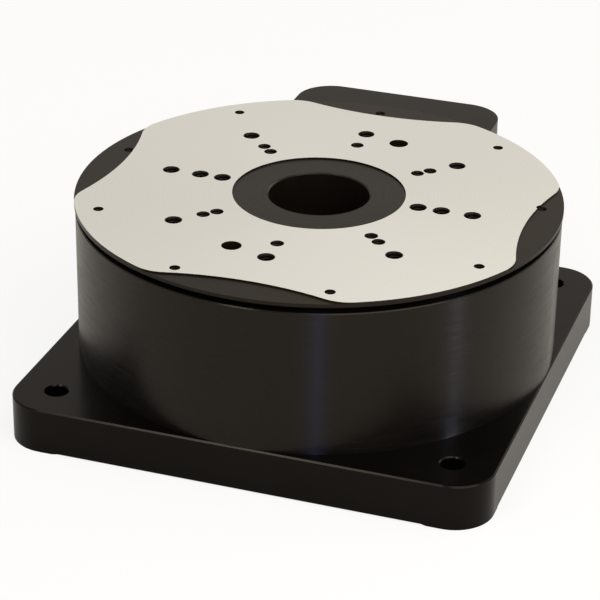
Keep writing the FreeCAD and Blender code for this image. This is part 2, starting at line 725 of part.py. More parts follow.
def make_drum_housing():
    """Turned drum with a seat for the motor core and a lip around the table's boss."""
    body = new_body("drum_housing")
    turned(body, "drum", [
        (CORE_SEAT, PLATE_TOP), (DRUM_OUTSIDE, PLATE_TOP),
        (DRUM_OUTSIDE, f"{DRUM_TOP} - Dims.drum_chamfer"),
        (f"{DRUM_OUTSIDE} - Dims.drum_chamfer", DRUM_TOP),
        (LIP_RADIUS, DRUM_TOP), (LIP_RADIUS, LIP_FLOOR),
        (DRUM_INSIDE, LIP_FLOOR), (DRUM_INSIDE, CORE_BOTTOM), (CORE_SEAT, CORE_BOTTOM)])
    at = polar(DRUM_SCREWS, "180 / Dims.drum_screw_count")
    screw_hole = hole(body, "screw_hole", tapped("m4"), f"{PLATE_TOP} - Dims.run_out",
                      f"{PLATE_TOP} + Dims.drum_screw_grip + Dims.thread_fit", at)
    around(body, [screw_hole], "Dims.drum_screw_count")
    cut_passages(body, f"{CORE_SEAT} - Dims.drum_wall", f"{DRUM_OUTSIDE} + Dims.run_out")
    surface = f"sqrt({DRUM_OUTSIDE}^2 - {BOX_SCREW_X}^2)"
    discs(body, "Subtractive", "box_holes", tapped("m4"), f"0 - {DRUM_OUTSIDE} - Dims.run_out",
          f"Dims.box_screw_grip + Dims.thread_fit - {surface}", BOX_SCREWS)


def cut_passages(body, front, rear):
    """Cut the two passages for the motor leads and the encoder cable at the rear."""
    near = "0 - Dims.passage_width / 2"
    far = "Dims.passage_width / 2"
    lead = f"{LIP_FLOOR} - Dims.lead_passage_below_lip"
    cable = f"{BOX_CAVITY_FLOOR} + Dims.cable_passage_rise"
    block(body, "Subtractive", "lead_passage", (near, front, f"{lead} - Dims.lead_passage_height"),
          (far, rear, lead))
    block(body, "Subtractive", "cable_passage", (near, front, cable),
          (far, rear, f"{cable} + Dims.cable_passage_height"))


def make_drum_screws():
    body = new_body("drum_screws")
    at = polar(DRUM_SCREWS, "180 / Dims.drum_screw_count")
    seat = "(Dims.foot_height + Dims.drum_screw_sink)"
    length = "(Dims.plate_thick - Dims.drum_screw_sink + Dims.drum_screw_grip)"
    around(body, cap_screw(body, "screw", "m4", seat, length, True, at), "Dims.drum_screw_count")


def make_bearing_carrier():
    body = new_body("bearing_carrier")
    turned(body, "carrier", [
        (CARRIER_SEAT, PLATE_TOP), (CARRIER_OUTSIDE, PLATE_TOP), (CARRIER_OUTSIDE, BEARING_TOP),
        (CARRIER_BORE, BEARING_TOP), (CARRIER_BORE, BEARING_SEAT), (CARRIER_SEAT, BEARING_SEAT)])
    at = polar(CARRIER_SCREWS, "180 / Dims.carrier_screw_count")
    below = hole(body, "carrier_screw_hole", tapped("m4"), f"{PLATE_TOP} - Dims.run_out",
                 f"{PLATE_TOP} + Dims.carrier_screw_grip + Dims.thread_fit", at)
    around(body, [below], "Dims.carrier_screw_count")
    at = polar(RETAINER_SCREWS, "180 / Dims.retainer_screw_count")
    above = hole(body, "retainer_screw_hole", tapped("m25"),
                 f"{BEARING_TOP} - Dims.retainer_screw_grip - Dims.thread_fit",
                 f"{BEARING_TOP} + Dims.run_out", at)
    around(body, [above], "Dims.retainer_screw_count")


def make_carrier_screws():
    body = new_body("carrier_screws")
    at = polar(CARRIER_SCREWS, "180 / Dims.carrier_screw_count")
    length = "(Dims.web_thick + Dims.carrier_screw_grip)"
    screw = cap_screw(body, "screw", "m4", POCKET_TOP, length, True, at)
    around(body, screw, "Dims.carrier_screw_count")


def make_bearing_rings():
    """Split outer ring and one-piece inner ring, each with a right-angled groove."""
    apex = f"{ROLLER_CIRCLE} + {CHANNEL_HALF}"
    inside = f"{ROLLER_CIRCLE} + {RING_HALF_GAP}"
    for label, sign, face in (("bearing_outer_ring_lower", "-", BEARING_SEAT),
                              ("bearing_outer_ring_upper", "+", BEARING_TOP)):
        mouth = f"{BEARING_MIDDLE} {sign} ({CHANNEL_HALF} - {RING_HALF_GAP})"
        turned(new_body(label), "ring", [
            (inside, face), (BEARING_OUTSIDE, face), (BEARING_OUTSIDE, BEARING_MIDDLE),
            (apex, BEARING_MIDDLE), (inside, mouth)])
    apex = f"{ROLLER_CIRCLE} - {CHANNEL_HALF}"
    outside = f"{ROLLER_CIRCLE} - {RING_HALF_GAP}"
    mouth = f"({CHANNEL_HALF} - {RING_HALF_GAP})"
    turned(new_body("bearing_inner_ring"), "ring", [
        (BEARING_BORE, BEARING_SEAT), (outside, BEARING_SEAT),
        (outside, f"{BEARING_MIDDLE} - {mouth}"), (apex, BEARING_MIDDLE),
        (outside, f"{BEARING_MIDDLE} + {mouth}"), (outside, BEARING_TOP),
        (BEARING_BORE, BEARING_TOP)])


def make_bearing_rollers():
    """Rollers leaning in and out by turns, a half pitch apart."""
    body = new_body("bearing_rollers")
    run = "((Dims.roller_radius - Dims.roller_shortfall) / sqrt(2))"
    rise = "(Dims.roller_radius / sqrt(2))"
    for name, lean, opposite, turn in (("leaning_out", "+", "-", "0"),
                                       ("leaning_in", "-", "+", "180 / Dims.rollers_each_way")):
        axis_ends = [(f"{ROLLER_CIRCLE} - {run}", f"{BEARING_MIDDLE} {opposite} {run}"),
                     (f"{ROLLER_CIRCLE} + {run}", f"{BEARING_MIDDLE} {lean} {run}")]
        far_side = [(f"{across} {opposite} {rise}", f"{up} + {rise}")
                    for across, up in reversed(axis_ends)]
        section = outline(body, f"{name}_section", axis_ends + far_side, turn=turn)
        axis = sketch_axis(section, axis_ends)
        roller = body.newObject("PartDesign::Revolution", name)
        roller.Profile = section
        roller.ReferenceAxis = (section, [axis])
        roller.Angle = 360
        around(body, [roller], "Dims.rollers_each_way")


def sketch_axis(sketch, ends):
    """Add a construction line along a sketch's first side and give its name as an axis."""
    places = [FreeCAD.Vector(number(across), number(up), 0) for across, up in ends]
    line = sketch.addGeometry(Part.LineSegment(*places), True)
    sketch.addConstraint(Sketcher.Constraint("Coincident", line, 1, 0, 1))
    sketch.addConstraint(Sketcher.Constraint("Coincident", line, 2, 0, 2))
    return "Axis0"


def make_bearing_spacers():
    """Round separators between the rollers."""
    body = new_body("bearing_spacers")
    disc = disc_sketch(body, "disc", [(ROLLER_CIRCLE, BEARING_MIDDLE, "Dims.spacer_radius")],
                       role="XZ_Plane", turn="90 / Dims.rollers_each_way")
    spacer = body.newObject("PartDesign::Pad", "spacer")
    spacer.Profile = disc
    spacer.Midplane = True
    spacer.setExpression("Length", "Dims.spacer_thick")
    around(body, [spacer], "Dims.rollers_each_way * 2")


def make_bearing_retainer():
    body = new_body("bearing_retainer")
    turned(body, "ring", [
        (CARRIER_SEAT, BEARING_TOP), (CARRIER_OUTSIDE, BEARING_TOP),
        (CARRIER_OUTSIDE, RETAINER_TOP), (CARRIER_SEAT, RETAINER_TOP)])
    at = polar(RETAINER_SCREWS, "180 / Dims.retainer_screw_count")
    cuts = [
        hole(body, "screw_hole", tapped("m25"), f"{BEARING_TOP} - Dims.run_out",
             f"{RETAINER_TOP} + Dims.run_out", at),
        flat_seat(body, "screw_seat", "m25", RETAINER_TOP, False, at),
    ]
    around(body, cuts, "Dims.retainer_screw_count")


def make_retainer_screws():
    body = new_body("retainer_screws")
    at = polar(RETAINER_SCREWS, "180 / Dims.retainer_screw_count")
    length = "(Dims.retainer_thick + Dims.retainer_screw_grip)"
    screw = flat_screw(body, "screw", "m25", RETAINER_TOP, length, False, at)
    around(body, screw, "Dims.retainer_screw_count")


def make_stator_core():
    """Laminated motor core with parallel-sided teeth pointing inwards."""
    body = new_body("stator_core")
    turned(body, "ring", [
        (CORE_INSIDE, CORE_BOTTOM), (CORE_OUTSIDE, CORE_BOTTOM),
        (CORE_OUTSIDE, CORE_TOP), (CORE_INSIDE, CORE_TOP)])
    half_pitch = "(180 deg / Dims.core_teeth)"
    half_mouth = "Dims.slot_mouth / 2"

    def beside_tooth(reach):
        across = f"{reach} * cos({half_pitch}) + Dims.tooth_width / 2 * sin({half_pitch})"
        up = f"{reach} * sin({half_pitch}) - Dims.tooth_width / 2 * cos({half_pitch})"
        return across, up

    near_x, near_y = beside_tooth(TOOTH_NECK)
    far_x, far_y = beside_tooth(f"({CORE_OUTSIDE} - Dims.core_back)")
    neck = f"{CORE_INSIDE} + Dims.tooth_tip / 2"
    slot = outline(body, "slot_outline", [
        (f"{CORE_INSIDE} - Dims.run_out", f"0 - {half_mouth}"), (neck, f"0 - {half_mouth}"),
        (near_x, f"0 - ({near_y})"), (far_x, f"0 - ({far_y})"), (far_x, far_y),
        (near_x, near_y), (neck, half_mouth), (f"{CORE_INSIDE} - Dims.run_out", half_mouth)],
        role="XY_Plane", level=f"{CORE_TOP} + Dims.run_out")
    cut = body.newObject("PartDesign::Pocket", "slot")
    cut.Profile = slot
    cut.setExpression("Length", "Dims.core_height + 2 * Dims.run_out")
    around(body, [cut], "Dims.core_teeth")


def make_stator_coils():
    """One wound coil around each tooth; the teeth stand half a pitch round from the +X side."""
    body = new_body("stator_coils")
    inside = f"{TOOTH_NECK} + 2 * Dims.coil_fit"
    lost = f"{COIL_REACH} * tan(180 deg / Dims.core_teeth)"
    outside = f"{CORE_OUTSIDE} - Dims.core_back - {lost} - 2 * Dims.coil_fit"
    half_width = "(Dims.tooth_width / 2 + Dims.coil_fit)"
    middle = f"(({CORE_BOTTOM} + {CORE_TOP}) / 2)"
    half_height = "(Dims.core_height / 2 + Dims.coil_fit)"

    full_width = f"({half_width} + Dims.coil_thick)"
    full_height = f"({half_height} + Dims.coil_thick)"
    winding = outline(body, "winding_outline",
                      blunt_rectangle(full_width, full_height, middle, "Dims.coil_corner"),
                      role="YZ_Plane", level=inside)
    add_polygon(winding, blunt_rectangle(half_width, half_height, middle, "Dims.coil_fit"))
    coil = body.newObject("PartDesign::Pad", "winding")
    coil.Profile = winding
    coil.setExpression("Length", f"({outside}) - ({inside})")
    around(body, [coil], "Dims.core_teeth")
    body.setExpression("Placement.Rotation.Angle", "180 deg / Dims.core_teeth")


def blunt_rectangle(half_width, half_height, middle, corner):
    """Give the corners of a rectangle about a middle height, its own corners cut off."""
    slim = f"({half_width} - {corner})"
    short = f"({half_height} - {corner})"
    return [(f"0 - {slim}", f"{middle} + {half_height}"), (slim, f"{middle} + {half_height}"),
            (half_width, f"{middle} + {short}"), (half_width, f"{middle} - {short}"),
            (slim, f"{middle} - {half_height}"), (f"0 - {slim}", f"{middle} - {half_height}"),
            (f"0 - {half_width}", f"{middle} - {short}"), (f"0 - {half_width}", f"{middle} + {short}")]


def make_readhead():
    body = new_body("readhead")
    half = "Dims.readhead_width / 2"
    rear = f"{READHEAD_FRONT} + Dims.readhead_length"
    block(body, "Additive", "case", (READHEAD_FRONT, f"0 - {half}", READHEAD_BOTTOM),
          (rear, half, BRACKET_BOTTOM))
    block(body, "Subtractive", "window",
          (f"{READHEAD_FRONT} - Dims.run_out", "0 - Dims.readhead_width / 4",
           f"{READHEAD_BOTTOM} + Dims.readhead_height / 2"),
          (f"{READHEAD_FRONT} + Dims.readhead_window", "Dims.readhead_width / 4",
           f"{READHEAD_BOTTOM} + Dims.readhead_height * 3 / 4"))
    cuts = [
        hole(body, "screw_hole", clearance("m2"), f"{READHEAD_BOTTOM} - Dims.run_out",
             f"{BRACKET_BOTTOM} + Dims.run_out", READHEAD_SCREW),
        hole(body, "screw_head", head_space("m2"), f"{READHEAD_BOTTOM} - Dims.run_out",
             READHEAD_SEAT, READHEAD_SCREW),
    ]
    mirrored(body, cuts)


def make_readhead_bracket():
    body = new_body("readhead_bracket")
    block(body, "Additive", "leaf", (BRACKET_FRONT, f"0 - {BRACKET_SIDE}", BRACKET_BOTTOM),
          (BRACKET_REAR, BRACKET_SIDE, POCKET_TOP))
    low = f"{BRACKET_BOTTOM} - Dims.run_out"
    high = f"{POCKET_TOP} + Dims.run_out"
    cuts = [
        hole(body, "readhead_hole", tapped("m2"), low, high, READHEAD_SCREW),
        hole(body, "bracket_hole", clearance("m25"), low, high, BRACKET_SCREW),
    ]
    mirrored(body, cuts)


def make_readhead_screws():
    body = new_body("readhead_screws")
    length = f"({POCKET_TOP} - {READHEAD_SEAT} - Dims.head_clearance)"
    mirrored(body, cap_screw(body, "screw", "m2", READHEAD_SEAT, length, True, READHEAD_SCREW))


def make_bracket_screws():
    body = new_body("bracket_screws")
    length = "(Dims.bracket_thick + Dims.bracket_screw_grip)"
    mirrored(body, cap_screw(body, "screw", "m25", BRACKET_BOTTOM, length, True, BRACKET_SCREW))


def make_connector_box():
    """Box for the cables behind the drum, hollowed and closed at the rear by a panel."""
    body = new_body("connector_box")
    near = f"0 - {BOX_HALF}"
    front = f"sqrt({BOX_FRONT_RADIUS}^2 - {BOX_HALF}^2) - Dims.run_out"
    blank = block(body, "Additive", "blank", (near, front, PLATE_TOP), (BOX_HALF, BOX_REAR, BOX_TOP))
    doc.recompute()
    rear = number(BOX_REAR)
    round_edges(body, blank, lambda edge: is_upright(edge) and edge.BoundBox.YMax > rear - 1e-4,
                "Dims.box_corner_radius", "rear_corners")
    hole(body, "drum_hollow", BOX_FRONT_RADIUS, f"{PLATE_TOP} - Dims.run_out",
         f"{BOX_TOP} + Dims.run_out")

    side = f"({BOX_HALF} - Dims.box_wall)"
    slim = f"({side} - Dims.box_cavity_corner)"
    short = f"{BOX_CAVITY_REAR} - Dims.box_cavity_corner"
    cavity = outline(body, "cavity_outline", [
        (f"0 - {side}", BOX_CAVITY_FRONT), (side, BOX_CAVITY_FRONT), (side, short),
        (slim, BOX_CAVITY_REAR), (f"0 - {slim}", BOX_CAVITY_REAR), (f"0 - {side}", short)],
        role="XY_Plane", level=BOX_CAVITY_TOP)
    cut = body.newObject("PartDesign::Pocket", "cavity")
    cut.Profile = cavity
    cut.setExpression("Length", f"{BOX_CAVITY_TOP} - {BOX_CAVITY_FLOOR}")

    half_width = f"({PANEL_WIDTH} / 2 + Dims.panel_fit)"
    half_height = f"({PANEL_HEIGHT} / 2 + Dims.panel_fit)"
    outside = f"{BOX_REAR} + Dims.run_out"
    block(body, "Subtractive", "panel_recess",
          (f"0 - {half_width}", PANEL_INSIDE, f"{PANEL_MIDDLE} - {half_height}"),
          (half_width, outside, f"{PANEL_MIDDLE} + {half_height}"))
    half_width = f"({PANEL_WIDTH} / 2 - Dims.panel_window_margin)"
    half_height = f"({PANEL_HEIGHT} / 2 - Dims.panel_window_margin)"
    block(body, "Subtractive", "panel_window",
          (f"0 - {half_width}", f"{BOX_CAVITY_REAR} - Dims.run_out", f"{PANEL_MIDDLE} - {half_height}"),
          (half_width, outside, f"{PANEL_MIDDLE} + {half_height}"))
    cut_passages(body, f"{DRUM_OUTSIDE} - Dims.drum_wall", f"{BOX_CAVITY_FRONT} + Dims.run_out")
    discs(body, "Subtractive", "panel_holes", tapped("m25"), f"0 - {BOX_REAR} - Dims.run_out",
          f"0 - {BOX_CAVITY_REAR} + Dims.run_out", PANEL_SCREWS)
    discs(body, "Subtractive", "box_holes", clearance("m4"), f"0 - {BOX_CAVITY_FRONT} - Dims.run_out",
          f"0 - {DRUM_OUTSIDE} + Dims.drum_wall", BOX_SCREWS)


def make_box_screws():
    """Four screws from inside the box into the drum's wall."""
    body = new_body("box_screws")
    surface = f"sqrt({DRUM_OUTSIDE}^2 - {BOX_SCREW_X}^2)"
    length = f"({BOX_CAVITY_FRONT} - {surface} + Dims.box_screw_grip)"
    seat = f"(0 - {BOX_CAVITY_FRONT})"
    discs(body, "Additive", "heads", "Dims.m4_head_radius", f"{seat} - Dims.m4_head_height", seat,
          BOX_SCREWS)
    discs(body, "Additive", "shanks", "Dims.m4_radius", seat, f"{seat} + {length}", BOX_SCREWS)
    sockets(body, "m4", f"{seat} - Dims.m4_head_height",
            f"{seat} - Dims.m4_head_height * (1 - Dims.socket_share)", BOX_SCREWS)


def sockets(body, thread, low, high, places):
    """Cut the hexagonal sockets of several screws that lie along Y."""
    for index, at in enumerate(places):
        hexagon(body, "Subtractive", f"socket_{index}", f"Dims.{thread}_socket_radius",
                low, high, at, "XZ_Plane")


def plug_middle(side):
    return f"({PANEL_MIDDLE} {side} Dims.plug_pitch / 2)"


def collar_corners(contacts, side, shrink):
    """Give the corners of a slanted collar, each side moved in by shrink."""
    middle = plug_middle(side)
    wide = f"({collar_width(contacts)} / 2 - {shrink})"
    narrow = f"({wide} - Dims.plug_collar_slant)"
    half = f"(Dims.plug_collar_height / 2 - {shrink})"
    return [(f"0 - {narrow}", f"{middle} - {half}"), (narrow, f"{middle} - {half}"),
            (wide, f"{middle} + {half}"), (f"0 - {wide}", f"{middle} + {half}")]


def lock_places(contacts, side):
    """Give the places of a plug connector's two jackscrews, on the XZ plane."""
    return both_sides([(f"{lock_spacing(contacts)} / 2", plug_middle(side))])


def make_connector_panel():
    """Plate in the rear of the box that carries the two plug connectors."""
    body = new_body("connector_panel")
    half_width = f"({PANEL_WIDTH} / 2)"
    half_height = f"({PANEL_HEIGHT} / 2)"
    block(body, "Additive", "plate",
          (f"0 - {half_width}", PANEL_INSIDE, f"{PANEL_MIDDLE} - {half_height}"),
          (half_width, BOX_REAR, f"{PANEL_MIDDLE} + {half_height}"))
    low = f"0 - {BOX_REAR} - Dims.run_out"
    high = f"0 - {PANEL_INSIDE} + Dims.run_out"
    discs(body, "Subtractive", "screw_holes", tapped("m25"), low, high, PANEL_SCREWS)
    for index, at in enumerate(PANEL_SCREWS):
        flat_seat(body, f"screw_seat_{index}", "m25", f"(0 - {BOX_REAR})", True, at, "XZ_Plane")
    locks = []
    for label, contacts, side in PLUGS:
        middle = plug_middle(side)
        half = f"({collar_width(contacts)} / 2 + Dims.plug_fit)"
        rise = "(Dims.plug_rear_height / 2 + Dims.plug_fit)"
        block(body, "Subtractive", f"{label}_window",
              (f"0 - {half}", f"{PANEL_INSIDE} - Dims.run_out", f"{middle} - {rise}"),
              (half, f"{BOX_REAR} + Dims.run_out", f"{middle} + {rise}"))
        locks += lock_places(contacts, side)
    discs(body, "Subtractive", "lock_holes", "Dims.lock_thread_radius + Dims.thread_fit",
          low, high, locks)


def make_panel_screws():
    body = new_body("panel_screws")
    face = f"(0 - {BOX_REAR})"
    neck = f"{face} + {flat_head_height('m25')}"
    for index, at in enumerate(PANEL_SCREWS):
        cone(body, "Additive", f"head_{index}", ("Dims.m25_head_radius", "Dims.m25_radius"),
             face, neck, at, "XZ_Plane")
    discs(body, "Additive", "shanks", "Dims.m25_radius", neck,
          f"{face} + Dims.panel_thick + Dims.panel_screw_grip", PANEL_SCREWS)
    sockets(body, "m25", face, f"{face} + Dims.flat_socket_depth", PANEL_SCREWS)


def make_plug_connector(label, contacts, side):
    """Metal shell with a slanted collar, and the insert with its two rows of contacts."""
    middle = plug_middle(side)
    face = f"({BOX_REAR} + Dims.plug_flange_thick)"
    tip = f"({face} + Dims.plug_collar_length)"
    shell = new_body(f"{label}_plug_shell")
    half = f"({flange_width(contacts)} / 2)"
    rise = "(Dims.plug_flange_height / 2)"
    block(shell, "Additive", "flange", (f"0 - {half}", BOX_REAR, f"{middle} - {rise}"),
          (half, face, f"{middle} + {rise}"))
    collar_outline = outline(shell, "collar_outline", collar_corners(contacts, side, "0"),
                             level=f"0 - {tip}")
    pad = shell.newObject("PartDesign::Pad", "collar")
    pad.Profile = collar_outline
    pad.setExpression("Length", "Dims.plug_collar_length + Dims.plug_flange_thick")
    mouth_outline = outline(shell, "mouth_outline",
                            collar_corners(contacts, side, "Dims.plug_collar_wall"),
                            level=f"0 - {BOX_REAR} + Dims.run_out")
    mouth = shell.newObject("PartDesign::Pocket", "mouth")
    mouth.Profile = mouth_outline
    mouth.setExpression("Length", f"{tip} - {BOX_REAR} + 2 * Dims.run_out")
    discs(shell, "Subtractive", "lock_holes", "Dims.lock_thread_radius + Dims.thread_fit",
          f"0 - {face} - Dims.run_out", f"0 - {BOX_REAR} + Dims.run_out",
          lock_places(contacts, side))

    insert = new_body(f"{label}_plug_insert")
    half = f"({collar_width(contacts)} / 2)"
    rise = "(Dims.plug_rear_height / 2)"
    block(insert, "Additive", "rear",
          (f"0 - {half}", f"{BOX_REAR} - Dims.plug_rear_length", f"{middle} - {rise}"),
          (half, BOX_REAR, f"{middle} + {rise}"))
    face_outline = outline(insert, "face_outline",
                           collar_corners(contacts, side, "(Dims.plug_collar_wall + Dims.plug_fit)"),
                           level=f"0 - {tip} + Dims.plug_collar_wall")
    front = insert.newObject("PartDesign::Pad", "face")
    front.Profile = face_outline
    front.setExpression("Length", f"{tip} - Dims.plug_collar_wall - {BOX_REAR}")
    for row, count, height in (("upper", contacts, "+"), ("lower", f"({contacts} - 1)", "-")):
        start = (f"0 - ({count} - 1) * Dims.contact_pitch / 2",
                 f"{middle} {height} Dims.contact_row_gap / 2")
        contact = hole(insert, f"{row}_contact", "Dims.contact_radius",
                       f"0 - {tip}", f"0 - {tip} + Dims.plug_collar_wall + Dims.contact_depth",
                       start, "XZ_Plane")
        line = insert.newObject("PartDesign::LinearPattern", f"{row}_row")
        line.Originals = [contact]
        line.Direction = (origin_feature(insert, "X_Axis"), [""])
        line.setExpression("Length", f"({count} - 1) * Dims.contact_pitch")
        line.setExpression("Occurrences", count)
        insert.Tip = line


def make_connector_jackscrews():
    """Hexagonal standoffs that hold the two plug connectors on their panel."""
    body = new_body("connector_jackscrews")
    face = f"({BOX_REAR} + Dims.plug_flange_thick)"
    places = [at for _, contacts, side in PLUGS for at in lock_places(contacts, side)]
    outside = f"(0 - {face} - Dims.lock_nut_length)"
    for index, at in enumerate(places):
        hexagon(body, "Additive", f"nut_{index}", "Dims.lock_nut_radius", outside, f"0 - {face}", at,
                "XZ_Plane")
    discs(body, "Additive", "studs", "Dims.lock_thread_radius", f"0 - {face}", f"0 - {PANEL_INSIDE}",
          places)
    discs(body, "Subtractive", "threads", "Dims.lock_thread_radius", f"{outside} - Dims.run_out",
          f"0 - {face} - Dims.plug_flange_thick", places)


def make_rotary_table():
    """Black disc with a raised bright land, notched by four long scallops."""
    body = new_body("rotary_table")
    land = turned(body, "land", [
        (TABLE_OPENING, RIM_TOP), (TABLE_RADIUS, RIM_TOP),
        (TABLE_RADIUS, LAND_TOP), (TABLE_OPENING, LAND_TOP)])
    centre = f"{TABLE_RADIUS} - Dims.scallop_depth + Dims.scallop_radius"
    scallop = hole(body, "scallop", "Dims.scallop_radius", f"{RIM_TOP} - Dims.run_out",
                   f"{LAND_TOP} + Dims.run_out", (centre, "0"))
    scallops = around(body, [scallop], 4)
    round_edges(body, scallops, is_scallop_corner, "Dims.land_corner_radius", "land_corners")
    turned(body, "disc", [
        (TABLE_OPENING, FLANGE_TOP), (BOSS_RADIUS, FLANGE_TOP), (BOSS_RADIUS, RIM_BOTTOM),
        (TABLE_RADIUS, RIM_BOTTOM), (TABLE_RADIUS, RIM_TOP), (TABLE_OPENING, RIM_TOP)])

    drilled = drill_table(body, "six", ring_places(RING_HOLES, "0", "Dims.ring_hole_count")
                          + ring_places(CROSS_HOLES, "0", "2") + ring_places(INNER_PAIR, "0", "2"))
    doc.recompute()
    mouths = body.newObject("PartDesign::Chamfer", "hole_mouths")
    mouths.Base = (drilled, edges_where(drilled, is_hole_mouth))
    mouths.setExpression("Size", "Dims.hole_chamfer")
    drill_table(body, "five", ring_places(CROSS_HOLES, "90", "2")
                + ring_places(CROSS_HOLES, "45", "4") + ring_places(SQUARE_HOLES, "45", "4"))
    drill_table(body, "four", ring_places(EDGE_HOLES, "Dims.edge_hole_angle", "Dims.edge_hole_count"))
    access = hole(body, "access_hole", "Dims.access_hole_radius", f"{FLANGE_TOP} - Dims.run_out",
                  f"{LAND_TOP} + Dims.run_out", polar(ACCESS_HOLES, "Dims.access_hole_angle"))
    around(body, [access], 2)

    at = polar(TABLE_SCREWS, "180 / Dims.table_screw_count")
    below = hole(body, "table_screw_hole", tapped("m4"), f"{FLANGE_TOP} - Dims.run_out",
                 f"{FLANGE_TOP} + Dims.table_screw_grip + Dims.thread_fit", at)
    around(body, [below], "Dims.table_screw_count")


def is_scallop_corner(edge):
    outside = number(TABLE_RADIUS)
    point = edge.Vertexes[0].Point
    return is_upright(edge) and abs(math.hypot(point.x, point.y) - outside) < 1e-3


def is_hole_mouth(edge):
    """Tell whether an edge is the mouth of a tapped hole in the land."""
    whole_circle = edge.isClosed() and edge.Curve.TypeId == "Part::GeomCircle"
    is_small = whole_circle and edge.Curve.Radius < number("Dims.bore_radius")
    return is_small and edge.BoundBox.ZMin > number(LAND_TOP) - 1e-4


def ring_places(radius, first, count):
    """Give evenly spaced places on a circle, the first at an angle in degrees."""
    return [polar(radius, f"{first} + {index} * 360 / {count}") for index in range(int(number(count)))]


def drill_table(body, thread, places):
    """Drill all the tapped blind holes of one size from the land."""
    circles = [(across, up, f"Dims.{thread}_tap_radius") for across, up in places]
    mouths = disc_sketch(body, f"{thread}_places", circles, level=LAND_TOP)
    drill = body.newObject("PartDesign::Pocket", f"{thread}_holes")
    drill.Profile = mouths
    drill.setExpression("Length", f"Dims.{thread}_tap_depth")
    return drill


def make_rotor_hub():
    """Hollow shaft with the flange that the table and the motor's rotor hang on."""
    body = new_body("rotor_hub")
    turned(body, "hub", [
        ("Dims.bore_radius", SHAFT_BOTTOM), (SHAFT_RADIUS, SHAFT_BOTTOM),
        (SHAFT_RADIUS, BEARING_TOP), (SHOULDER_RADIUS, BEARING_TOP),
        (SHOULDER_RADIUS, FLANGE_BOTTOM), (FLANGE_RADIUS, FLANGE_BOTTOM),
        (FLANGE_RADIUS, FLANGE_TOP), (SPIGOT_RADIUS, FLANGE_TOP), (SPIGOT_RADIUS, RIM_TOP),
        ("Dims.bore_radius + Dims.bore_chamfer", RIM_TOP),
        ("Dims.bore_radius", f"{RIM_TOP} - Dims.bore_chamfer")])
    at = polar(YOKE_SCREWS, "0")
    seat = f"{FLANGE_TOP} - Dims.m3_head_height - Dims.head_clearance"
    yoke = [
        hole(body, "yoke_screw_hole", clearance("m3"), f"{FLANGE_BOTTOM} - Dims.run_out",
             f"{FLANGE_TOP} + Dims.run_out", at),
        hole(body, "yoke_screw_head", head_space("m3"), seat, f"{FLANGE_TOP} + Dims.run_out", at),
    ]
    around(body, yoke, "Dims.yoke_screw_count")
    at = polar(TABLE_SCREWS, "180 / Dims.table_screw_count")
    seat = f"{FLANGE_BOTTOM} + Dims.m4_head_height + Dims.head_clearance"
    table = [
        hole(body, "table_screw_hole", clearance("m4"), f"{FLANGE_BOTTOM} - Dims.run_out",
             f"{FLANGE_TOP} + Dims.run_out", at),
        hole(body, "table_screw_head", head_space("m4"), f"{FLANGE_BOTTOM} - Dims.run_out", seat, at),
    ]
    around(body, table, "Dims.table_screw_count")
    at = polar(GRATING_SCREWS, "0")
    grating = hole(body, "grating_screw_hole", tapped("m3"), f"{SHAFT_BOTTOM} - Dims.run_out",
                   f"{SHAFT_BOTTOM} + Dims.grating_screw_grip + Dims.thread_fit", at)
    around(body, [grating], "Dims.grating_screw_count")


def make_table_screws():
    body = new_body("table_screws")
    at = polar(TABLE_SCREWS, "180 / Dims.table_screw_count")
    seat = f"({FLANGE_BOTTOM} + Dims.m4_head_height + Dims.head_clearance)"
    length = f"({FLANGE_TOP} - {seat} + Dims.table_screw_grip)"
    around(body, cap_screw(body, "screw", "m4", seat, length, True, at), "Dims.table_screw_count")


def make_rotor_yoke():
    """Steel sleeve under the flange that carries the magnets."""
    body = new_body("rotor_yoke")
    turned(body, "sleeve", [
        (YOKE_INSIDE, f"{CORE_BOTTOM} - Dims.yoke_below_magnets"),
        (YOKE_OUTSIDE, f"{CORE_BOTTOM} - Dims.yoke_below_magnets"),
        (YOKE_OUTSIDE, FLANGE_BOTTOM), (YOKE_INSIDE, FLANGE_BOTTOM)])
    screw_hole = hole(body, "screw_hole", tapped("m3"),
                      f"{FLANGE_BOTTOM} - Dims.yoke_screw_grip - Dims.thread_fit",
                      f"{FLANGE_BOTTOM} + Dims.run_out", polar(YOKE_SCREWS, "0"))
    around(body, [screw_hole], "Dims.yoke_screw_count")


def make_yoke_screws():
    body = new_body("yoke_screws")
    seat = f"({FLANGE_TOP} - Dims.m3_head_height - Dims.head_clearance)"
    length = f"({seat} - {FLANGE_BOTTOM} + Dims.yoke_screw_grip)"
    screw = cap_screw(body, "screw", "m3", seat, length, False, polar(YOKE_SCREWS, "0"))
    around(body, screw, "Dims.yoke_screw_count")


def make_rotor_magnets():
    """Curved magnets bonded around the sleeve."""
    body = new_body("rotor_magnets")
    magnet = turned(body, "magnet", [
        (MAGNET_INSIDE, CORE_BOTTOM), (MAGNET_OUTSIDE, CORE_BOTTOM),
        (MAGNET_OUTSIDE, CORE_TOP), (MAGNET_INSIDE, CORE_TOP)])
    magnet.setExpression("Angle", "360 / Dims.magnet_count * Dims.magnet_fill")
    around(body, [magnet], "Dims.magnet_count")


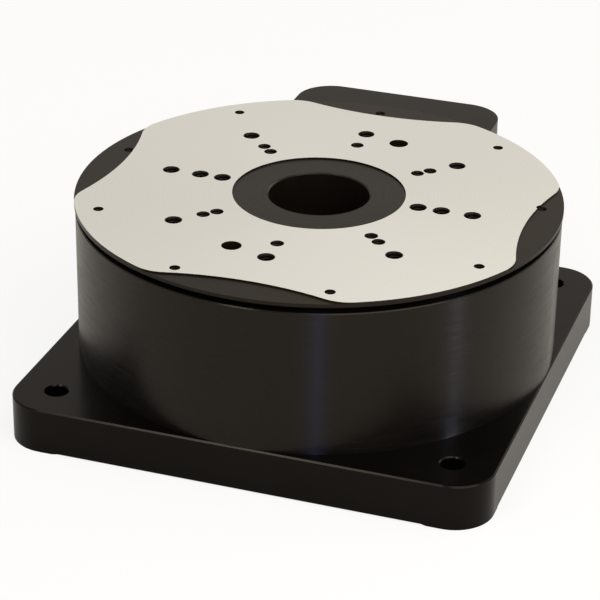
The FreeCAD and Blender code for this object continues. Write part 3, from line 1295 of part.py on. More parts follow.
def make_bearing_locknut():
    """Round nut on the shaft under the bearing, turned with a pin spanner from below."""
    body = new_body("bearing_locknut")
    inside = f"{SHAFT_RADIUS} + Dims.locknut_fit"
    outside = f"{BEARING_BORE} + Dims.locknut_width"
    bottom = f"{BEARING_SEAT} - Dims.locknut_height"
    turned(body, "nut", [
        (inside, bottom), (outside, bottom), (outside, BEARING_SEAT), (inside, BEARING_SEAT)])
    spanner = hole(body, "spanner_hole", "Dims.spanner_hole_radius", f"{bottom} - Dims.run_out",
                   f"{bottom} + Dims.spanner_hole_depth", polar(SPANNER_HOLES, "45"))
    around(body, [spanner], 4)
    grub = hole(body, "setscrew_hole", tapped("m3"), BEARING_BORE, f"{outside} + Dims.run_out",
                ("0", SETSCREW_LEVEL), "YZ_Plane")
    around(body, [grub], 2)


def make_locknut_setscrews():
    body = new_body("locknut_setscrews")
    inner = f"{SHAFT_RADIUS} + Dims.locknut_fit"
    outer = f"{BEARING_BORE} + Dims.locknut_width - Dims.locknut_fit"
    at = ("0", SETSCREW_LEVEL)
    screw = cylinder(body, "Additive", "screw", "Dims.m3_radius", inner, outer, at, "YZ_Plane")
    around(body, [screw], 2)
    socket = hexagon(body, "Subtractive", "socket", "Dims.m2_socket_radius",
                     f"{outer} - Dims.m3_radius", outer, at, "YZ_Plane")
    around(body, [socket], 2)


def make_encoder_ring():
    """Grating ring under the shaft: a hub, a thin web and the rim that is read."""
    body = new_body("encoder_ring")
    web_bottom = f"{SHAFT_BOTTOM} - Dims.grating_web"
    rim = f"{GRATING_OUTSIDE} - Dims.grating_rim"
    turned(body, "ring", [
        (GRATING_BORE, GRATING_BOTTOM), (GRATING_HUB, GRATING_BOTTOM), (GRATING_HUB, web_bottom),
        (rim, web_bottom), (rim, GRATING_BOTTOM), (GRATING_OUTSIDE, GRATING_BOTTOM),
        (GRATING_OUTSIDE, SHAFT_BOTTOM), (GRATING_BORE, SHAFT_BOTTOM)])
    at = polar(GRATING_SCREWS, "0")
    cuts = [
        hole(body, "screw_hole", clearance("m3"), f"{GRATING_BOTTOM} - Dims.run_out",
             f"{SHAFT_BOTTOM} + Dims.run_out", at),
        hole(body, "screw_head", head_space("m3"), f"{GRATING_BOTTOM} - Dims.run_out",
             GRATING_SEAT, at),
    ]
    around(body, cuts, "Dims.grating_screw_count")


def make_encoder_screws():
    body = new_body("encoder_screws")
    length = f"({SHAFT_BOTTOM} - {GRATING_SEAT} + Dims.grating_screw_grip)"
    screw = cap_screw(body, "screw", "m3", GRATING_SEAT, length, True, polar(GRATING_SCREWS, "0"))
    around(body, screw, "Dims.grating_screw_count")


def check_document():
    """Stop if any object failed or any sub-part is not a sound solid."""
    failed = [item.Name for item in doc.Objects
              if any(word in ("Invalid", "Error") for word in item.State)]
    if failed:
        raise RuntimeError(f"failed objects: {failed}")
    for body in sub_parts():
        shape = body.Shape
        if shape.isNull() or not shape.isValid() or not shape.Solids:
            raise RuntimeError(f"{body.Label} is not a sound solid")


def sub_parts():
    return [item for item in doc.Objects if item.isDerivedFrom("PartDesign::Body")]


make_base_plate()
make_bottom_cover()
make_cover_screws()
make_drum_housing()
make_drum_screws()
make_bearing_carrier()
make_carrier_screws()
make_bearing_rings()
make_bearing_rollers()
make_bearing_spacers()
make_bearing_retainer()
make_retainer_screws()
make_stator_core()
make_stator_coils()
make_readhead()
make_readhead_bracket()
make_readhead_screws()
make_bracket_screws()
make_connector_box()
make_box_screws()
make_connector_panel()
make_panel_screws()
for plug in PLUGS:
    make_plug_connector(*plug)
make_connector_jackscrews()
make_rotary_table()
make_rotor_hub()
make_table_screws()
make_rotor_yoke()
make_yoke_screws()
make_rotor_magnets()
make_bearing_locknut()
make_locknut_setscrews()
make_encoder_ring()
make_encoder_screws()

doc.recompute()
check_document()
os.makedirs("parts", exist_ok=True)
for body in sub_parts():
    body.Shape.exportStep(f"parts/{body.Label}.step")
print(f"wrote {len(sub_parts())} sub-parts")
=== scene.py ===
import math

import bpy
import numpy as np
from bpy.props import FloatProperty, FloatVectorProperty, PointerProperty
from mathutils import Matrix, Vector


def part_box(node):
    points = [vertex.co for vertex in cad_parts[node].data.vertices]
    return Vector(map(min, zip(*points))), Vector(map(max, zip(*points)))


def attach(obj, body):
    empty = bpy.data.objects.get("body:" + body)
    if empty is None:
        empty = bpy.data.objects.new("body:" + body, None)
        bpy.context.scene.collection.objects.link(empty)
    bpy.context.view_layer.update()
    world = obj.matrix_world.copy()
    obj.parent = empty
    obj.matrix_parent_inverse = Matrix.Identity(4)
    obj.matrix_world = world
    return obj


bl_info = {
    "name": "Rotary Stage",
    "version": (1, 0, 0),
    "blender": (4, 5, 0),
    "location": "View3D > Sidebar > Rotary Stage",
    "description": "Finishes a low direct-drive rotary stage and lights it in a studio",
    "category": "Object",
}

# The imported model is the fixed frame: metres, +Z up the rotation axis, +Y to the
# connector box.
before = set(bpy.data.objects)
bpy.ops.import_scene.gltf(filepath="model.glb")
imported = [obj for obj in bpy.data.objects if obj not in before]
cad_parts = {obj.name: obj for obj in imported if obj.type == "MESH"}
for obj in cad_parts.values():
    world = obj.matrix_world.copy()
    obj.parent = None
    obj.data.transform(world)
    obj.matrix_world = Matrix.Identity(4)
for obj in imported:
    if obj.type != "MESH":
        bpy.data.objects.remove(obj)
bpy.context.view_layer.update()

MM = 0.001
LAND_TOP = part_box("rotary_table")[1].z
PLATE_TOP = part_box("base_plate")[1].z

# The dyed oxide gives its reflections a warm cast.
DYE_TINT = "#fff3e5"

# White as Blender's linear red, green, blue and alpha.
WHITE = (1.0, 1.0, 1.0, 1.0)

# Metal above this height on the table was faced after anodising and is bare.
BARE_ABOVE = LAND_TOP - 0.02 * MM

# Real sizes that the inner finishes are drawn to.
SHEET_THICKNESS = 0.5 * MM
SHEET_SEAM_SHARE = 0.18
WIRE_PITCH = 0.6 * MM
GRADUATION_PITCH = 0.6 * MM
GRINDING_PITCH = 0.3 * MM

# The tapped holes of the table: circle radius in mm, first angle, number, hole radius,
# depth, thread pitch and how far the mouth is below the land in mm. Scallops cut the
# mouths of the outer circle down to their floor.
TAPPED = (
    (50.0, 0.0, 8, 2.5, 8.5, 1.0, 0.0),
    (40.0, 0.0, 2, 2.5, 8.5, 1.0, 0.0),
    (32.5, 0.0, 2, 2.5, 8.5, 1.0, 0.0),
    (40.0, 90.0, 2, 2.1, 8.0, 0.8, 0.0),
    (40.0, 45.0, 4, 2.1, 8.0, 0.8, 0.0),
    (35.355, 45.0, 4, 2.1, 8.0, 0.8, 0.0),
    (70.0, 11.0, 9, 1.65, 6.5, 0.7, 0.5),
)
THREAD_SIDES = 24
RINGS_PER_PITCH = 5
# The sleeve's outer wall is this far behind the hole's wall, and at both ends the ridge
# runs out this far behind it.
SLEEVE_WALL = 0.15 * MM
RUN_OUT = 0.01 * MM

# The plugs' contacts: number in the upper row, the lower one having one less, and the
# standard spacing of such a plug.
CONTACTS = (("motor", 5), ("feedback", 8))
CONTACT_PITCH = 2.77 * MM
ROW_RISE = 1.42 * MM
CONTACT_SIDES = 14
CONTACT_OUTER = 0.54 * MM
CONTACT_BORE = 0.36 * MM
CONTACT_LENGTH = 3.5 * MM
# The contacts' mouths are this far inside the shell's rear end.
CONTACT_RECESS = 0.35 * MM

# Each lamp: name, place in metres, width and height, power in watts, colour, and
# whether it lights matt surfaces. The strips are there for their reflections alone.
LAMPS = (
    ("overhead softbox", (0.19, -0.15, 0.32), 0.3, 0.3, 0.5, "#fff8ec", True),
    ("rear softbox", (0.40, 0.75, 0.50), 0.5, 0.5, 0.9, "#fff8ec", True),
    ("front softbox", (-0.35, -0.70, 1.00), 0.25, 0.25, 1.3, "#fffaf2", True),
    ("middle strip", (0.50, -1.49, 0.30), 0.06, 0.6, 4.8, "#8ea6ff", False),
    ("right strip", (1.54, -0.25, 0.30), 0.06, 0.6, 7.0, "#cfdcff", False),
)

# The floor is a square sheet of paper. These shares of it glow for each kind of ray.
FLOOR_HALF = 4.0
FLOOR_GLOW = 1.1
GLOW_SHARES = {"Is Camera Ray": 0.75, "Is Glossy Ray": 0.1, "Is Transmission Ray": 0.9}

# The room's light grows along this slope, from the first level to the second.
ROOM_SLOPE = (0.9, -0.1, 0.6)
ROOM_SPAN = (-0.35, 1.0)
ROOM_LEVELS = (0.75, 0.95)
ROOM_COLOUR = "#fff8ec"

# The camera's place in metres and its axes, as solved from the base and the table.
CAMERA_PLACE = (0.21086, -0.65298, 0.37520)
CAMERA_ACROSS = (0.94671, 0.32176, 0.01446)
CAMERA_UP = (-0.15783, 0.42431, 0.89165)
CAMERA_BACK = (0.28077, -0.84642, 0.45248)
SENSOR_WIDTH = 36.0
CLIP_START = 0.01
CLIP_END = 50.0


def linear(hex_colour):
    """Turn an sRGB hex colour into Blender's linear red, green, blue and alpha."""
    levels = [int(hex_colour[at:at + 2], 16) / 255 for at in (1, 3, 5)]
    return tuple(level / 12.92 if level <= 0.04045 else ((level + 0.055) / 1.055) ** 2.4
                 for level in levels) + (1.0,)


class StageFinish(bpy.types.PropertyGroup):
    """Colours and tool marks of the machined surfaces."""

    black: FloatVectorProperty(
        name="Black anodise", description="Colour of the dyed oxide layer",
        subtype="COLOR", size=4, min=0, max=1, default=linear("#060505"))
    bright: FloatVectorProperty(
        name="Bright land", description="Colour of the faced aluminium on the table",
        subtype="COLOR", size=4, min=0, max=1, default=linear("#f2f2ef"))
    turning_pitch: FloatProperty(
        name="Turning pitch", description="Spacing of the lathe's feed marks",
        unit="LENGTH", default=0.5 * MM, min=0.1 * MM, max=2 * MM)
    grain: FloatProperty(
        name="Etched grain", description="Size of the grain left under the oxide",
        unit="LENGTH", default=0.45 * MM, min=0.1 * MM, max=2 * MM)


class StageThreads(bpy.types.PropertyGroup):
    """Threads in the table's tapped holes."""

    ridge: FloatProperty(
        name="Ridge height", description="How far a thread ridge stands into its hole",
        unit="LENGTH", default=0.28 * MM, min=0.05 * MM, max=0.5 * MM)
    sink: FloatProperty(
        name="Thread start", description="Depth of the first ridge below the land",
        unit="LENGTH", default=0.35 * MM, min=0, max=2 * MM)


class StageStudio(bpy.types.PropertyGroup):
    """Floor, room light and camera."""

    floor: FloatVectorProperty(
        name="Floor", description="Colour of the floor",
        subtype="COLOR", size=4, min=0, max=1, default=linear("#e2e2e1"))
    lens: FloatProperty(
        name="Lens", description="Focal length on a 36 mm sensor",
        default=143.17, min=10, max=300)
    sky: FloatProperty(
        name="Room light", description="Strength of the light from the white room",
        default=0.72, min=0, max=3)


def add(tree, kind, inputs=(), **settings):
    """Add a node with its settings, and set or link its inputs by name or number."""
    made = tree.nodes.new(kind)
    for name, value in settings.items():
        setattr(made, name, value)
    for key, value in dict(inputs).items():
        if isinstance(value, bpy.types.NodeSocket):
            tree.links.new(value, made.inputs[key])
        else:
            made.inputs[key].default_value = value
    return made


def empty_tree(block):
    """Give the tree of a material or a world with no node in it."""
    block.use_nodes = True
    block.node_tree.nodes.clear()
    return block.node_tree


def start(name):
    """Make an empty material; give it, its tree and the surface's own coordinates."""
    material = bpy.data.materials.new(name)
    tree = empty_tree(material)
    place = add(tree, "ShaderNodeTexCoord").outputs["Object"]
    return material, tree, place


def noise(tree, place, size, detail=2.0, stretch=(1, 1, 1)):
    """Give noise whose features are about size metres, drawn out by stretch."""
    scale = [1 / (size * pull) for pull in stretch]
    mapped = add(tree, "ShaderNodeMapping", {"Vector": place, "Scale": scale})
    made = add(tree, "ShaderNodeTexNoise",
               {"Vector": mapped.outputs[0], "Scale": 1.0, "Detail": detail})
    return made.outputs["Fac"]


def spread(tree, value, low, high):
    """Stretch a noise value, which keeps near its middle, to run from low to high."""
    made = add(tree, "ShaderNodeMapRange",
               {"Value": value, "From Min": 0.3, "From Max": 0.7,
                "To Min": low, "To Max": high})
    return made.outputs["Result"]


def blend_colour(tree, share, first, second):
    """Mix two colours by a share from 0 to 1."""
    made = add(tree, "ShaderNodeMix", {0: share, 6: first, 7: second},
               data_type="RGBA", clamp_factor=True)
    return made.outputs[2]


def mottled(tree, pattern, first, second, low=0.0, high=1.0):
    """Mix two hex or given colours by a pattern that is spread from low to high."""
    ends = [linear(end) if isinstance(end, str) else end for end in (first, second)]
    return blend_colour(tree, spread(tree, pattern, low, high), *ends)


def calc(tree, operation, *values):
    """Give the result of a sum on one or two values."""
    made = add(tree, "ShaderNodeMath", dict(enumerate(values)), operation=operation)
    return made.outputs[0]


def from_axis(tree, place):
    """Give the distance of each point from the rotation axis."""
    flat = add(tree, "ShaderNodeVectorMath", {0: place, 1: (1.0, 1.0, 0.0)},
               operation="MULTIPLY")
    away = add(tree, "ShaderNodeVectorMath", {0: flat.outputs[0]}, operation="LENGTH")
    return away.outputs["Value"]


def height_of(tree, place):
    """Give the height of each point above the floor."""
    return add(tree, "ShaderNodeSeparateXYZ", {0: place}).outputs["Z"]


def lines(tree, across, pitch):
    """Give uneven parallel tool marks, pitch metres apart along a distance."""
    steps = calc(tree, "DIVIDE", across, pitch)
    made = add(tree, "ShaderNodeTexNoise", {"W": steps, "Scale": 1.0, "Detail": 3.0},
               noise_dimensions="1D")
    return made.outputs["Fac"]


def around(tree):
    """Give the direction that runs around the rotation axis."""
    made = add(tree, "ShaderNodeTangent", direction_type="RADIAL", axis="Z")
    return made.outputs[0]


def surface(tree, bump=None, depth=None, strength=None, **inputs):
    """Add the shader and its output; bump is the height pattern and depth its real
    depth in metres."""
    named = {key.replace("_", " "): value for key, value in inputs.items()}
    if bump is not None:
        raised = add(tree, "ShaderNodeBump",
                     {"Height": bump, "Distance": depth, "Strength": strength})
        named["Normal"] = raised.outputs[0]
    shader = add(tree, "ShaderNodeBsdfPrincipled", named)
    add(tree, "ShaderNodeOutputMaterial", {"Surface": shader.outputs[0]})


def milled_anodised(finish):
    """Milled, etched and black anodised aluminium: an even satin black that mirrors
    softly at a low angle, with a fine grain and the faint cloudiness of the dye."""
    material, tree, place = start("black anodised aluminium, milled")
    grain = noise(tree, place, finish.grain, 3.0)
    cloud = noise(tree, place, 22 * MM)
    surface(tree, grain, 0.006 * MM, 0.4,
            Base_Color=mottled(tree, cloud, finish.black, "#0a0908"),
            Specular_Tint=linear(DYE_TINT),
            Roughness=spread(tree, grain, 0.18, 0.22), IOR=1.26)
    return material


def turned_anodised(finish):
    """Turned and black anodised aluminium: feed marks run around the drum, so that a
    lamp draws a narrow upright streak on it. The marks are 1.2 mm wide, so that they
    show in it."""
    material, tree, place = start("black anodised aluminium, turned")
    marks = lines(tree, height_of(tree, place), finish.turning_pitch)
    brushed = noise(tree, place, 1.2 * MM, stretch=(10, 10, 1))
    cloud = noise(tree, place, 18 * MM, stretch=(1, 1, 0.35))
    surface(tree, marks, 0.003 * MM, 0.35,
            Base_Color=mottled(tree, cloud, finish.black, "#070605"),
            Specular_Tint=linear(DYE_TINT),
            Roughness=spread(tree, brushed, 0.22, 0.28), IOR=1.38,
            Anisotropic=0.95, Anisotropic_Rotation=0.25, Tangent=around(tree))
    return material


def table_finish(finish):
    """Turned and black anodised disc whose land was faced bright afterwards: fine
    concentric marks on both, a pale matt metal on the land and dyed oxide below it."""
    material, tree, place = start("anodised aluminium with a faced bright land")
    marks = lines(tree, from_axis(tree, place), finish.turning_pitch)
    cloud = noise(tree, place, 30 * MM)
    bare = calc(tree, "GREATER_THAN", height_of(tree, place), BARE_ABOVE)
    dark = mottled(tree, cloud, finish.black, "#231b13", 0.6)
    bright = mottled(tree, marks, finish.bright, "#efefec")
    rough = calc(tree, "ADD", spread(tree, marks, 0.29, 0.31),
                 calc(tree, "MULTIPLY", bare, 0.4))
    surface(tree, marks, 0.001 * MM, 0.1,
            Base_Color=blend_colour(tree, bare, dark, bright),
            Metallic=bare, Roughness=rough, IOR=1.27,
            Anisotropic=0.08, Anisotropic_Rotation=0.25, Tangent=around(tree))
    return material


def faced_anodised(finish):
    """Faced and black anodised hub: a satin black with concentric marks around the
    bore."""
    material, tree, place = start("black anodised aluminium, faced")
    marks = lines(tree, from_axis(tree, place), finish.turning_pitch)
    surface(tree, marks, 0.001 * MM, 0.2,
            Base_Color=mottled(tree, marks, finish.black, "#1e1913"),
            Specular_Tint=linear(DYE_TINT),
            Roughness=spread(tree, marks, 0.27, 0.31), IOR=1.33,
            Anisotropic=0.3, Anisotropic_Rotation=0.25, Tangent=around(tree))
    return material


def machined_aluminium(finish):
    """Bare turned aluminium inside the stage: silver grey with feed marks."""
    material, tree, place = start("machined aluminium")
    marks = lines(tree, height_of(tree, place), finish.turning_pitch)
    surface(tree, marks, 0.004 * MM, 0.6,
            Base_Color=mottled(tree, marks, "#d9d8d5", "#c6c5c2"),
            Metallic=1.0, Roughness=spread(tree, marks, 0.28, 0.42))
    return material


def oxide_screws(finish):
    """Black oxide alloy steel screws: oily dark brown black, worn a little brighter in
    spots."""
    material, tree, place = start("black oxide steel")
    wear = noise(tree, place, 1.2 * MM, 3.0)
    surface(tree, wear, 0.01 * MM, 0.5,
            Base_Color=mottled(tree, wear, "#332f2c", "#504b46", high=0.8),
            Metallic=0.85, Roughness=spread(tree, wear, 0.3, 0.45))
    return material


def ground_steel(finish):
    """Hardened and ground bearing steel: bright and mirror-like with fine grinding
    marks."""
    material, tree, place = start("ground bearing steel")
    marks = lines(tree, height_of(tree, place), GRINDING_PITCH)
    surface(tree, marks, 0.001 * MM, 0.4,
            Base_Color=mottled(tree, marks, "#cfcdca", "#bdbbb8"),
            Metallic=1.0, Roughness=spread(tree, marks, 0.12, 0.22))
    return material


def moulded_acetal(finish):
    """Natural acetal: milky white and waxy, with a faint speckle."""
    material, tree, place = start("natural acetal")
    speckle = noise(tree, place, 0.5 * MM)
    surface(tree, speckle, 0.005 * MM, 0.4,
            Base_Color=mottled(tree, speckle, "#e8e4d8", "#dcd8ca"),
            Roughness=0.4, IOR=1.48)
    return material


def core_laminations(finish):
    """Stacked electrical steel sheets: grey edges of half-millimetre sheets in a dark
    varnish."""
    material, tree, place = start("laminated electrical steel")
    stack = calc(tree, "DIVIDE", height_of(tree, place), SHEET_THICKNESS)
    seam = calc(tree, "LESS_THAN", calc(tree, "FRACT", stack), SHEET_SEAM_SHARE)
    surface(tree, seam, -0.03 * MM, 0.8,
            Base_Color=blend_colour(tree, seam, linear("#6d6c6a"), linear("#2b2824")),
            Metallic=0.8, Roughness=0.42)
    return material


def wound_copper(finish):
    """Enamelled copper wire: parallel round turns under a clear amber gloss. Its colour
    is painted darker in the grooves between turns as shade and paler on the crowns as a
    highlight.
    """
    material, tree, place = start("enamelled copper winding")
    turns = calc(tree, "FRACT",
                 calc(tree, "DIVIDE", from_axis(tree, place), WIRE_PITCH))
    round_height_and_shade = calc(tree, "SINE", calc(tree, "MULTIPLY", turns, math.pi))
    # The colour follows each turn's round: painted shade in the grooves between turns,
    # a painted highlight on the crowns.
    surface(tree, round_height_and_shade, 0.15 * MM, 0.8,
            Base_Color=blend_colour(tree, round_height_and_shade, linear("#6b3416"), linear("#b8693a")),
            Metallic=0.75, Roughness=0.3, Coat_Weight=0.6, Coat_Roughness=0.12)
    return material


def plated_magnets(finish):
    """Nickel plated magnets: warm mirror grey with a fine orange peel."""
    material, tree, place = start("nickel plate")
    peel = noise(tree, place, 0.8 * MM)
    surface(tree, peel, 0.006 * MM, 0.5,
            Base_Color=mottled(tree, peel, "#c9c3b6", "#b5afa2"),
            Metallic=1.0, Roughness=0.2)
    return material


def grating_steel(finish):
    """Stainless steel scale ring: bright, with graduations around its rim that are too
    fine to show and so are drawn 0.6 mm apart."""
    material, tree, place = start("graduated stainless steel")
    parts = add(tree, "ShaderNodeSeparateXYZ", {0: place})
    angle = calc(tree, "ARCTAN2", parts.outputs["Y"], parts.outputs["X"])
    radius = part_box("encoder_ring")[1].x
    steps = calc(tree, "FRACT",
                 calc(tree, "MULTIPLY", angle, radius / GRADUATION_PITCH))
    rim = calc(tree, "GREATER_THAN", from_axis(tree, place), radius - 0.05 * MM)
    line = calc(tree, "MULTIPLY", calc(tree, "LESS_THAN", steps, 0.5), rim)
    surface(tree, line, -0.005 * MM, 0.5,
            Base_Color=blend_colour(tree, line, linear("#c8c7c3"), linear("#5d5c5a")),
            Metallic=1.0, Roughness=0.24)
    return material


def cast_case(finish):
    """Die-cast and bead blasted case of the readhead: a fine dark grey grit."""
    material, tree, place = start("blasted die-cast aluminium")
    grit = noise(tree, place, 0.3 * MM, 3.0)
    surface(tree, grit, 0.03 * MM, 0.6,
            Base_Color=mottled(tree, grit, "#4c4f54", "#5c5f64"),
            Metallic=0.7, Roughness=0.5)
    return material


def plated_shell(finish):
    """Tin plated steel of the connector shells: pale satin grey, slightly cloudy."""
    material, tree, place = start("tin plated steel")
    cloud = noise(tree, place, 2.5 * MM, 3.0)
    surface(tree, cloud, 0.01 * MM, 0.4,
            Base_Color=mottled(tree, cloud, "#cfccc6", "#b3b0aa"),
            Metallic=1.0, Roughness=spread(tree, cloud, 0.25, 0.38))
    return material


def moulded_plastic(finish):
    """Glass filled polyester of the connector inserts: matt black with a fine mould
    texture."""
    material, tree, place = start("glass filled polyester")
    grit = noise(tree, place, 0.35 * MM, 3.0)
    surface(tree, grit, 0.02 * MM, 0.5,
            Base_Color=mottled(tree, grit, "#1b1b1c", "#28282a"),
            Roughness=0.48, IOR=1.55)
    return material


def gold_plate():
    """Gold flashed contacts: warm yellow, a little dull from the nickel beneath."""
    material, tree, place = start("gold plate")
    cloud = noise(tree, place, 0.6 * MM)
    surface(tree, Base_Color=mottled(tree, cloud, "#e0b95e", "#c99f46"),
            Metallic=1.0, Roughness=0.25)
    return material


# Which CAD nodes each finish goes on.
FINISHES = {
    milled_anodised: ("base_plate", "bottom_cover", "connector_box", "connector_panel",
                      "readhead_bracket"),
    turned_anodised: ("drum_housing",),
    table_finish: ("rotary_table",),
    faced_anodised: ("rotor_hub",),
    machined_aluminium: ("bearing_carrier", "bearing_retainer"),
    oxide_screws: ("cover_screws", "drum_screws", "carrier_screws", "retainer_screws",
                   "readhead_screws", "bracket_screws", "box_screws", "panel_screws",
                   "table_screws", "yoke_screws", "locknut_setscrews",
                   "encoder_screws"),
    ground_steel: ("bearing_outer_ring_lower", "bearing_outer_ring_upper",
                   "bearing_inner_ring", "bearing_rollers", "bearing_locknut",
                   "rotor_yoke"),
    moulded_acetal: ("bearing_spacers",),
    core_laminations: ("stator_core",),
    wound_copper: ("stator_coils",),
    plated_magnets: ("rotor_magnets",),
    grating_steel: ("encoder_ring",),
    cast_case: ("readhead",),
    plated_shell: ("motor_plug_shell", "feedback_plug_shell", "connector_jackscrews"),
    moulded_plastic: ("motor_plug_insert", "feedback_plug_insert"),
}


def new_piece(name, points, faces, material, body, slot):
    """Make a smooth shaded mesh object from arrays and hang it on a body."""
    mesh = bpy.data.meshes.new(name)
    mesh.from_pydata(points.tolist(), [], faces.tolist())
    mesh.polygons.foreach_set("use_smooth", np.ones(len(faces), bool))
    mesh.materials.append(material)
    piece = bpy.data.objects.new(name, mesh)
    bpy.context.scene.collection.objects.link(piece)
    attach(piece, body)


def closed_grid(rows, columns):
    """Give the four-sided faces of a grid that closes on itself both ways."""
    row, column = np.meshgrid(np.arange(rows), np.arange(columns), indexing="ij")
    next_row = (row + 1) % rows
    next_column = (column + 1) % columns
    corners = (row * columns + column, row * columns + next_column,
               next_row * columns + next_column, next_row * columns + column)
    return np.stack(corners, -1).reshape(-1, 4)


def thread_sleeve(radius, depth, pitch, ridge, sink):
    """Thread in a hole at the origin. Inside, at angle a and depth z, the radius is the
    hole's less the ridge height times a triangle wave of z / pitch + a / turn; the
    outer wall, a little behind the hole's, closes the sleeve."""
    rings = int((depth - sink) / pitch * RINGS_PER_PITCH)
    angle = np.linspace(0, 2 * np.pi, THREAD_SIDES, endpoint=False)
    level = -sink - (depth - sink - pitch) * np.linspace(0, 1, rings)
    a, z = np.meshgrid(angle, level, indexing="ij")
    wave = 1 - 2 * np.abs((z / pitch + a / (2 * np.pi)) % 1.0 - 0.5)
    fade = np.clip(np.minimum(-sink - z, z - level[-1]) / pitch, 0, 1)
    inside = radius - ridge * wave * fade + RUN_OUT * (1 - fade)
    outside = np.full((THREAD_SIDES, 2), radius + SLEEVE_WALL)
    r = np.concatenate([inside, outside], axis=1)
    ends = np.broadcast_to([level[-1], level[0]], outside.shape)
    heights = np.concatenate([z, ends], axis=1)
    spin = np.broadcast_to(angle[:, None], r.shape)
    points = np.stack([r * np.cos(spin), r * np.sin(spin), heights], -1)
    return points.reshape(-1, 3), closed_grid(*r.shape)


def contact_sleeve(outer, bore, length):
    """Round contact along Y, its mouth at the origin: a closed section with a rounded
    mouth, turned about its own axis."""
    middle = (outer + bore) / 2
    lip = (outer - bore) / 2
    bend = np.linspace(0, np.pi, 7)
    radial = np.concatenate([[outer], middle + lip * np.cos(bend), [bore]])
    along = np.concatenate([[-length], lip * np.sin(bend) - lip, [-length]])
    angle = np.linspace(0, 2 * np.pi, CONTACT_SIDES, endpoint=False)
    points = np.stack([radial * np.cos(angle[:, None]),
                       np.broadcast_to(along, (CONTACT_SIDES, len(along))),
                       radial * np.sin(angle[:, None])], -1)
    return points.reshape(-1, 3), closed_grid(CONTACT_SIDES, len(along))


def repeated(points, faces, places):
    """Copy a shape to each place."""
    moved = points[None] + np.asarray(places)[:, None]
    shifted = faces[None] + (np.arange(len(places)) * len(points))[:, None, None]
    return moved.reshape(-1, 3), shifted.reshape(-1, faces.shape[1])


def joined(shapes):
    """Join several shapes into one pair of arrays."""
    starts = np.cumsum([0] + [len(points) for points, _ in shapes[:-1]])
    faces = [faces + first for (_, faces), first in zip(shapes, starts)]
    return np.concatenate([points for points, _ in shapes]), np.concatenate(faces)


class DressFrame(bpy.types.Operator):
    """Give every CAD node its finish"""

    bl_idname = "rotary_stage.dress_frame"
    bl_label = "Finish the machined parts"

    def execute(self, context):
        finish = context.scene.rotary_stage_finish
        for make, names in FINISHES.items():
            material = make(finish)
            for name in names:
                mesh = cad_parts[name].data
                mesh.materials.clear()
                mesh.materials.append(material)
        return {"FINISHED"}


class TappedThreads(bpy.types.Operator):
    """Put threads into the table's tapped holes"""

    bl_idname = "rotary_stage.tapped_threads"
    bl_label = "Table threads"

    def execute(self, context):
        threads = context.scene.rotary_stage_threads
        shapes = []
        for circle, first, count, radius, depth, pitch, mouth in TAPPED:
            angle = np.radians(first + 360 / count * np.arange(count))
            places = np.stack([circle * MM * np.cos(angle), circle * MM * np.sin(angle),
                               np.full(count, LAND_TOP - mouth * MM)], -1)
            sleeve = thread_sleeve(radius * MM, depth * MM, pitch * MM,
                                   threads.ridge, threads.sink)
            shapes.append(repeated(*sleeve, places))
        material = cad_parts["rotor_hub"].data.materials[0]
        new_piece("table_threads", *joined(shapes), material, "rotor", "table_anodised")
        return {"FINISHED"}


class PlugContacts(bpy.types.Operator):
    """Put the gold contacts into the two plug connectors"""

    bl_idname = "rotary_stage.plug_contacts"
    bl_label = "Connector contacts"

    def execute(self, context):
        material = gold_plate()
        sleeve = contact_sleeve(CONTACT_OUTER, CONTACT_BORE, CONTACT_LENGTH)
        for label, count in CONTACTS:
            low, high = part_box(f"{label}_plug_shell")
            middle = (low.z + high.z) / 2
            places = [((index - (number - 1) / 2) * CONTACT_PITCH,
                       high.y - CONTACT_RECESS, middle + rise)
                      for number, rise in ((count, ROW_RISE), (count - 1, -ROW_RISE))
                      for index in range(number)]
            new_piece(f"{label}_contacts", *repeated(*sleeve, places), material, "base",
                      "plated_shell")
        return {"FINISHED"}


def aimed_lamp(name, place, width, height, power, colour, lights_matt):
    """Hang a soft area lamp that faces the stage."""
    light = bpy.data.lights.new(name, "AREA")
    light.shape = "RECTANGLE"
    light.size = width
    light.size_y = height
    light.energy = power
    light.color = linear(colour)[:3]
    lamp = bpy.data.objects.new(name, light)
    lamp.location = place
    lamp.visible_diffuse = lights_matt
    aim = Vector((0, 0, PLATE_TOP)) - Vector(place)
    lamp.rotation_euler = aim.to_track_quat("-Z", "Y").to_euler()
    bpy.context.scene.collection.objects.link(lamp)


def floor_material(studio):
    """White seamless paper. The camera sees it nearly white, and it keeps a soft
    shadow; from below it is clear, so that the underside can be seen."""
    material = bpy.data.materials.new("white seamless paper")
    tree = empty_tree(material)
    paper = add(tree, "ShaderNodeBsdfDiffuse",
                {"Color": studio.floor, "Roughness": 0.5})
    glow = add(tree, "ShaderNodeEmission", {"Color": WHITE, "Strength": FLOOR_GLOW})
    path = add(tree, "ShaderNodeLightPath")
    shares = [calc(tree, "MULTIPLY", path.outputs[ray], share)
              for ray, share in GLOW_SHARES.items()]
    share = calc(tree, "ADD", calc(tree, "ADD", shares[0], shares[1]), shares[2])
    lit = add(tree, "ShaderNodeMixShader",
              {0: share, 1: paper.outputs[0], 2: glow.outputs[0]})
    facing = add(tree, "ShaderNodeNewGeometry").outputs["Backfacing"]
    clear = add(tree, "ShaderNodeBsdfTransparent")
    whole = add(tree, "ShaderNodeMixShader",
                {0: facing, 1: lit.outputs[0], 2: clear.outputs[0]})
    add(tree, "ShaderNodeOutputMaterial", {"Surface": whole.outputs[0]})
    return material


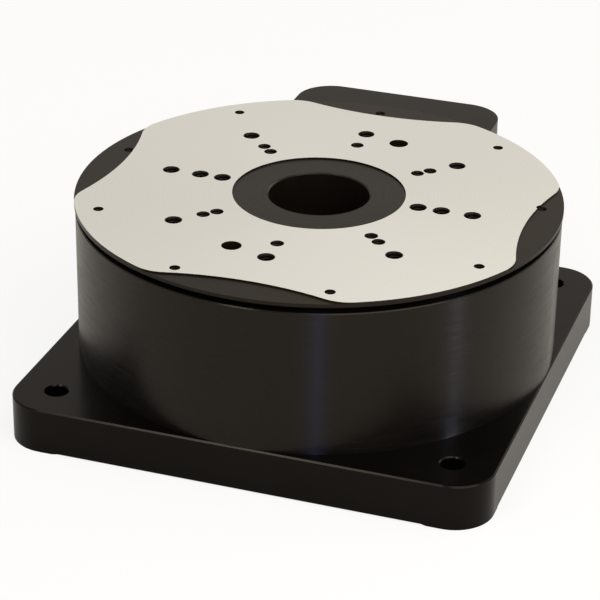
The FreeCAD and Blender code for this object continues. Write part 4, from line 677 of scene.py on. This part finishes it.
def white_room(strength):
    """Make a world that lights the stage a little more from the right and from above,
    and that the camera sees as plain white."""
    world = bpy.data.worlds.new("white room")
    tree = empty_tree(world)
    seen = add(tree, "ShaderNodeLightPath").outputs["Is Camera Ray"]
    look = add(tree, "ShaderNodeTexCoord").outputs["Generated"]
    slope = add(tree, "ShaderNodeVectorMath", {0: look, 1: ROOM_SLOPE},
                operation="DOT_PRODUCT").outputs["Value"]
    level = add(tree, "ShaderNodeMapRange",
                {"Value": slope, "From Min": ROOM_SPAN[0], "From Max": ROOM_SPAN[1],
                 "To Min": ROOM_LEVELS[0], "To Max": ROOM_LEVELS[1]}).outputs[0]
    shown = add(tree, "ShaderNodeMix",
                {0: seen, 2: calc(tree, "MULTIPLY", level, strength), 3: 1.0},
                data_type="FLOAT").outputs[0]
    warm = blend_colour(tree, seen, linear(ROOM_COLOUR), WHITE)
    room = add(tree, "ShaderNodeBackground", {"Color": warm, "Strength": shown})
    add(tree, "ShaderNodeOutputWorld", {"Surface": room.outputs[0]})
    return world


def placed_camera(lens):
    """Put the camera where the photograph was taken from."""
    camera = bpy.data.cameras.new("camera")
    camera.lens = lens
    camera.sensor_width = SENSOR_WIDTH
    camera.clip_start = CLIP_START
    camera.clip_end = CLIP_END
    holder = bpy.data.objects.new("camera", camera)
    turn = Matrix((CAMERA_ACROSS, CAMERA_UP, CAMERA_BACK)).transposed()
    holder.matrix_world = Matrix.Translation(CAMERA_PLACE) @ turn.to_4x4()
    bpy.context.scene.collection.objects.link(holder)
    return holder


class Studio(bpy.types.Operator):
    """Set up the floor, the lamps and the camera"""

    bl_idname = "rotary_stage.studio"
    bl_label = "Studio"

    def execute(self, context):
        studio = context.scene.rotary_stage_studio
        scene = context.scene
        scene.view_settings.view_transform = "Standard"

        corners = [(-FLOOR_HALF, -FLOOR_HALF, 0), (FLOOR_HALF, -FLOOR_HALF, 0),
                   (FLOOR_HALF, FLOOR_HALF, 0), (-FLOOR_HALF, FLOOR_HALF, 0)]
        mesh = bpy.data.meshes.new("floor")
        mesh.from_pydata(corners, [], [(0, 1, 2, 3)])
        mesh.materials.append(floor_material(studio))
        floor = bpy.data.objects.new("floor", mesh)
        scene.collection.objects.link(floor)

        scene.world = white_room(studio.sky)
        for lamp in LAMPS:
            aimed_lamp(*lamp)
        scene.camera = placed_camera(studio.lens)
        return {"FINISHED"}


class StagePanel(bpy.types.Panel):
    """Lists the sizes, the colours and the steps"""

    bl_idname = "VIEW3D_PT_rotary_stage"
    bl_label = "Rotary Stage"
    bl_space_type = "VIEW_3D"
    bl_region_type = "UI"
    bl_category = "Rotary Stage"

    def draw(self, context):
        for group in SETTINGS:
            settings = getattr(context.scene, group)
            for name in settings.__annotations__:
                self.layout.prop(settings, name)
        for step in STEPS:
            self.layout.operator(step.bl_idname)


SETTINGS = {"rotary_stage_finish": StageFinish, "rotary_stage_threads": StageThreads,
            "rotary_stage_studio": StageStudio}
STEPS = (DressFrame, TappedThreads, PlugContacts, Studio)
CLASSES = (*SETTINGS.values(), *STEPS, StagePanel)


def register():
    for item in CLASSES:
        bpy.utils.register_class(item)
    for name, group in SETTINGS.items():
        setattr(bpy.types.Scene, name, PointerProperty(type=group))


def unregister():
    for name in SETTINGS:
        delattr(bpy.types.Scene, name)
    for item in reversed(CLASSES):
        bpy.utils.unregister_class(item)


def main():
    """Run every step in order."""
    register()
    bpy.ops.rotary_stage.dress_frame()
    bpy.ops.rotary_stage.tapped_threads()
    bpy.ops.rotary_stage.plug_contacts()
    bpy.ops.rotary_stage.studio()


if __name__ == "__main__":
    main()
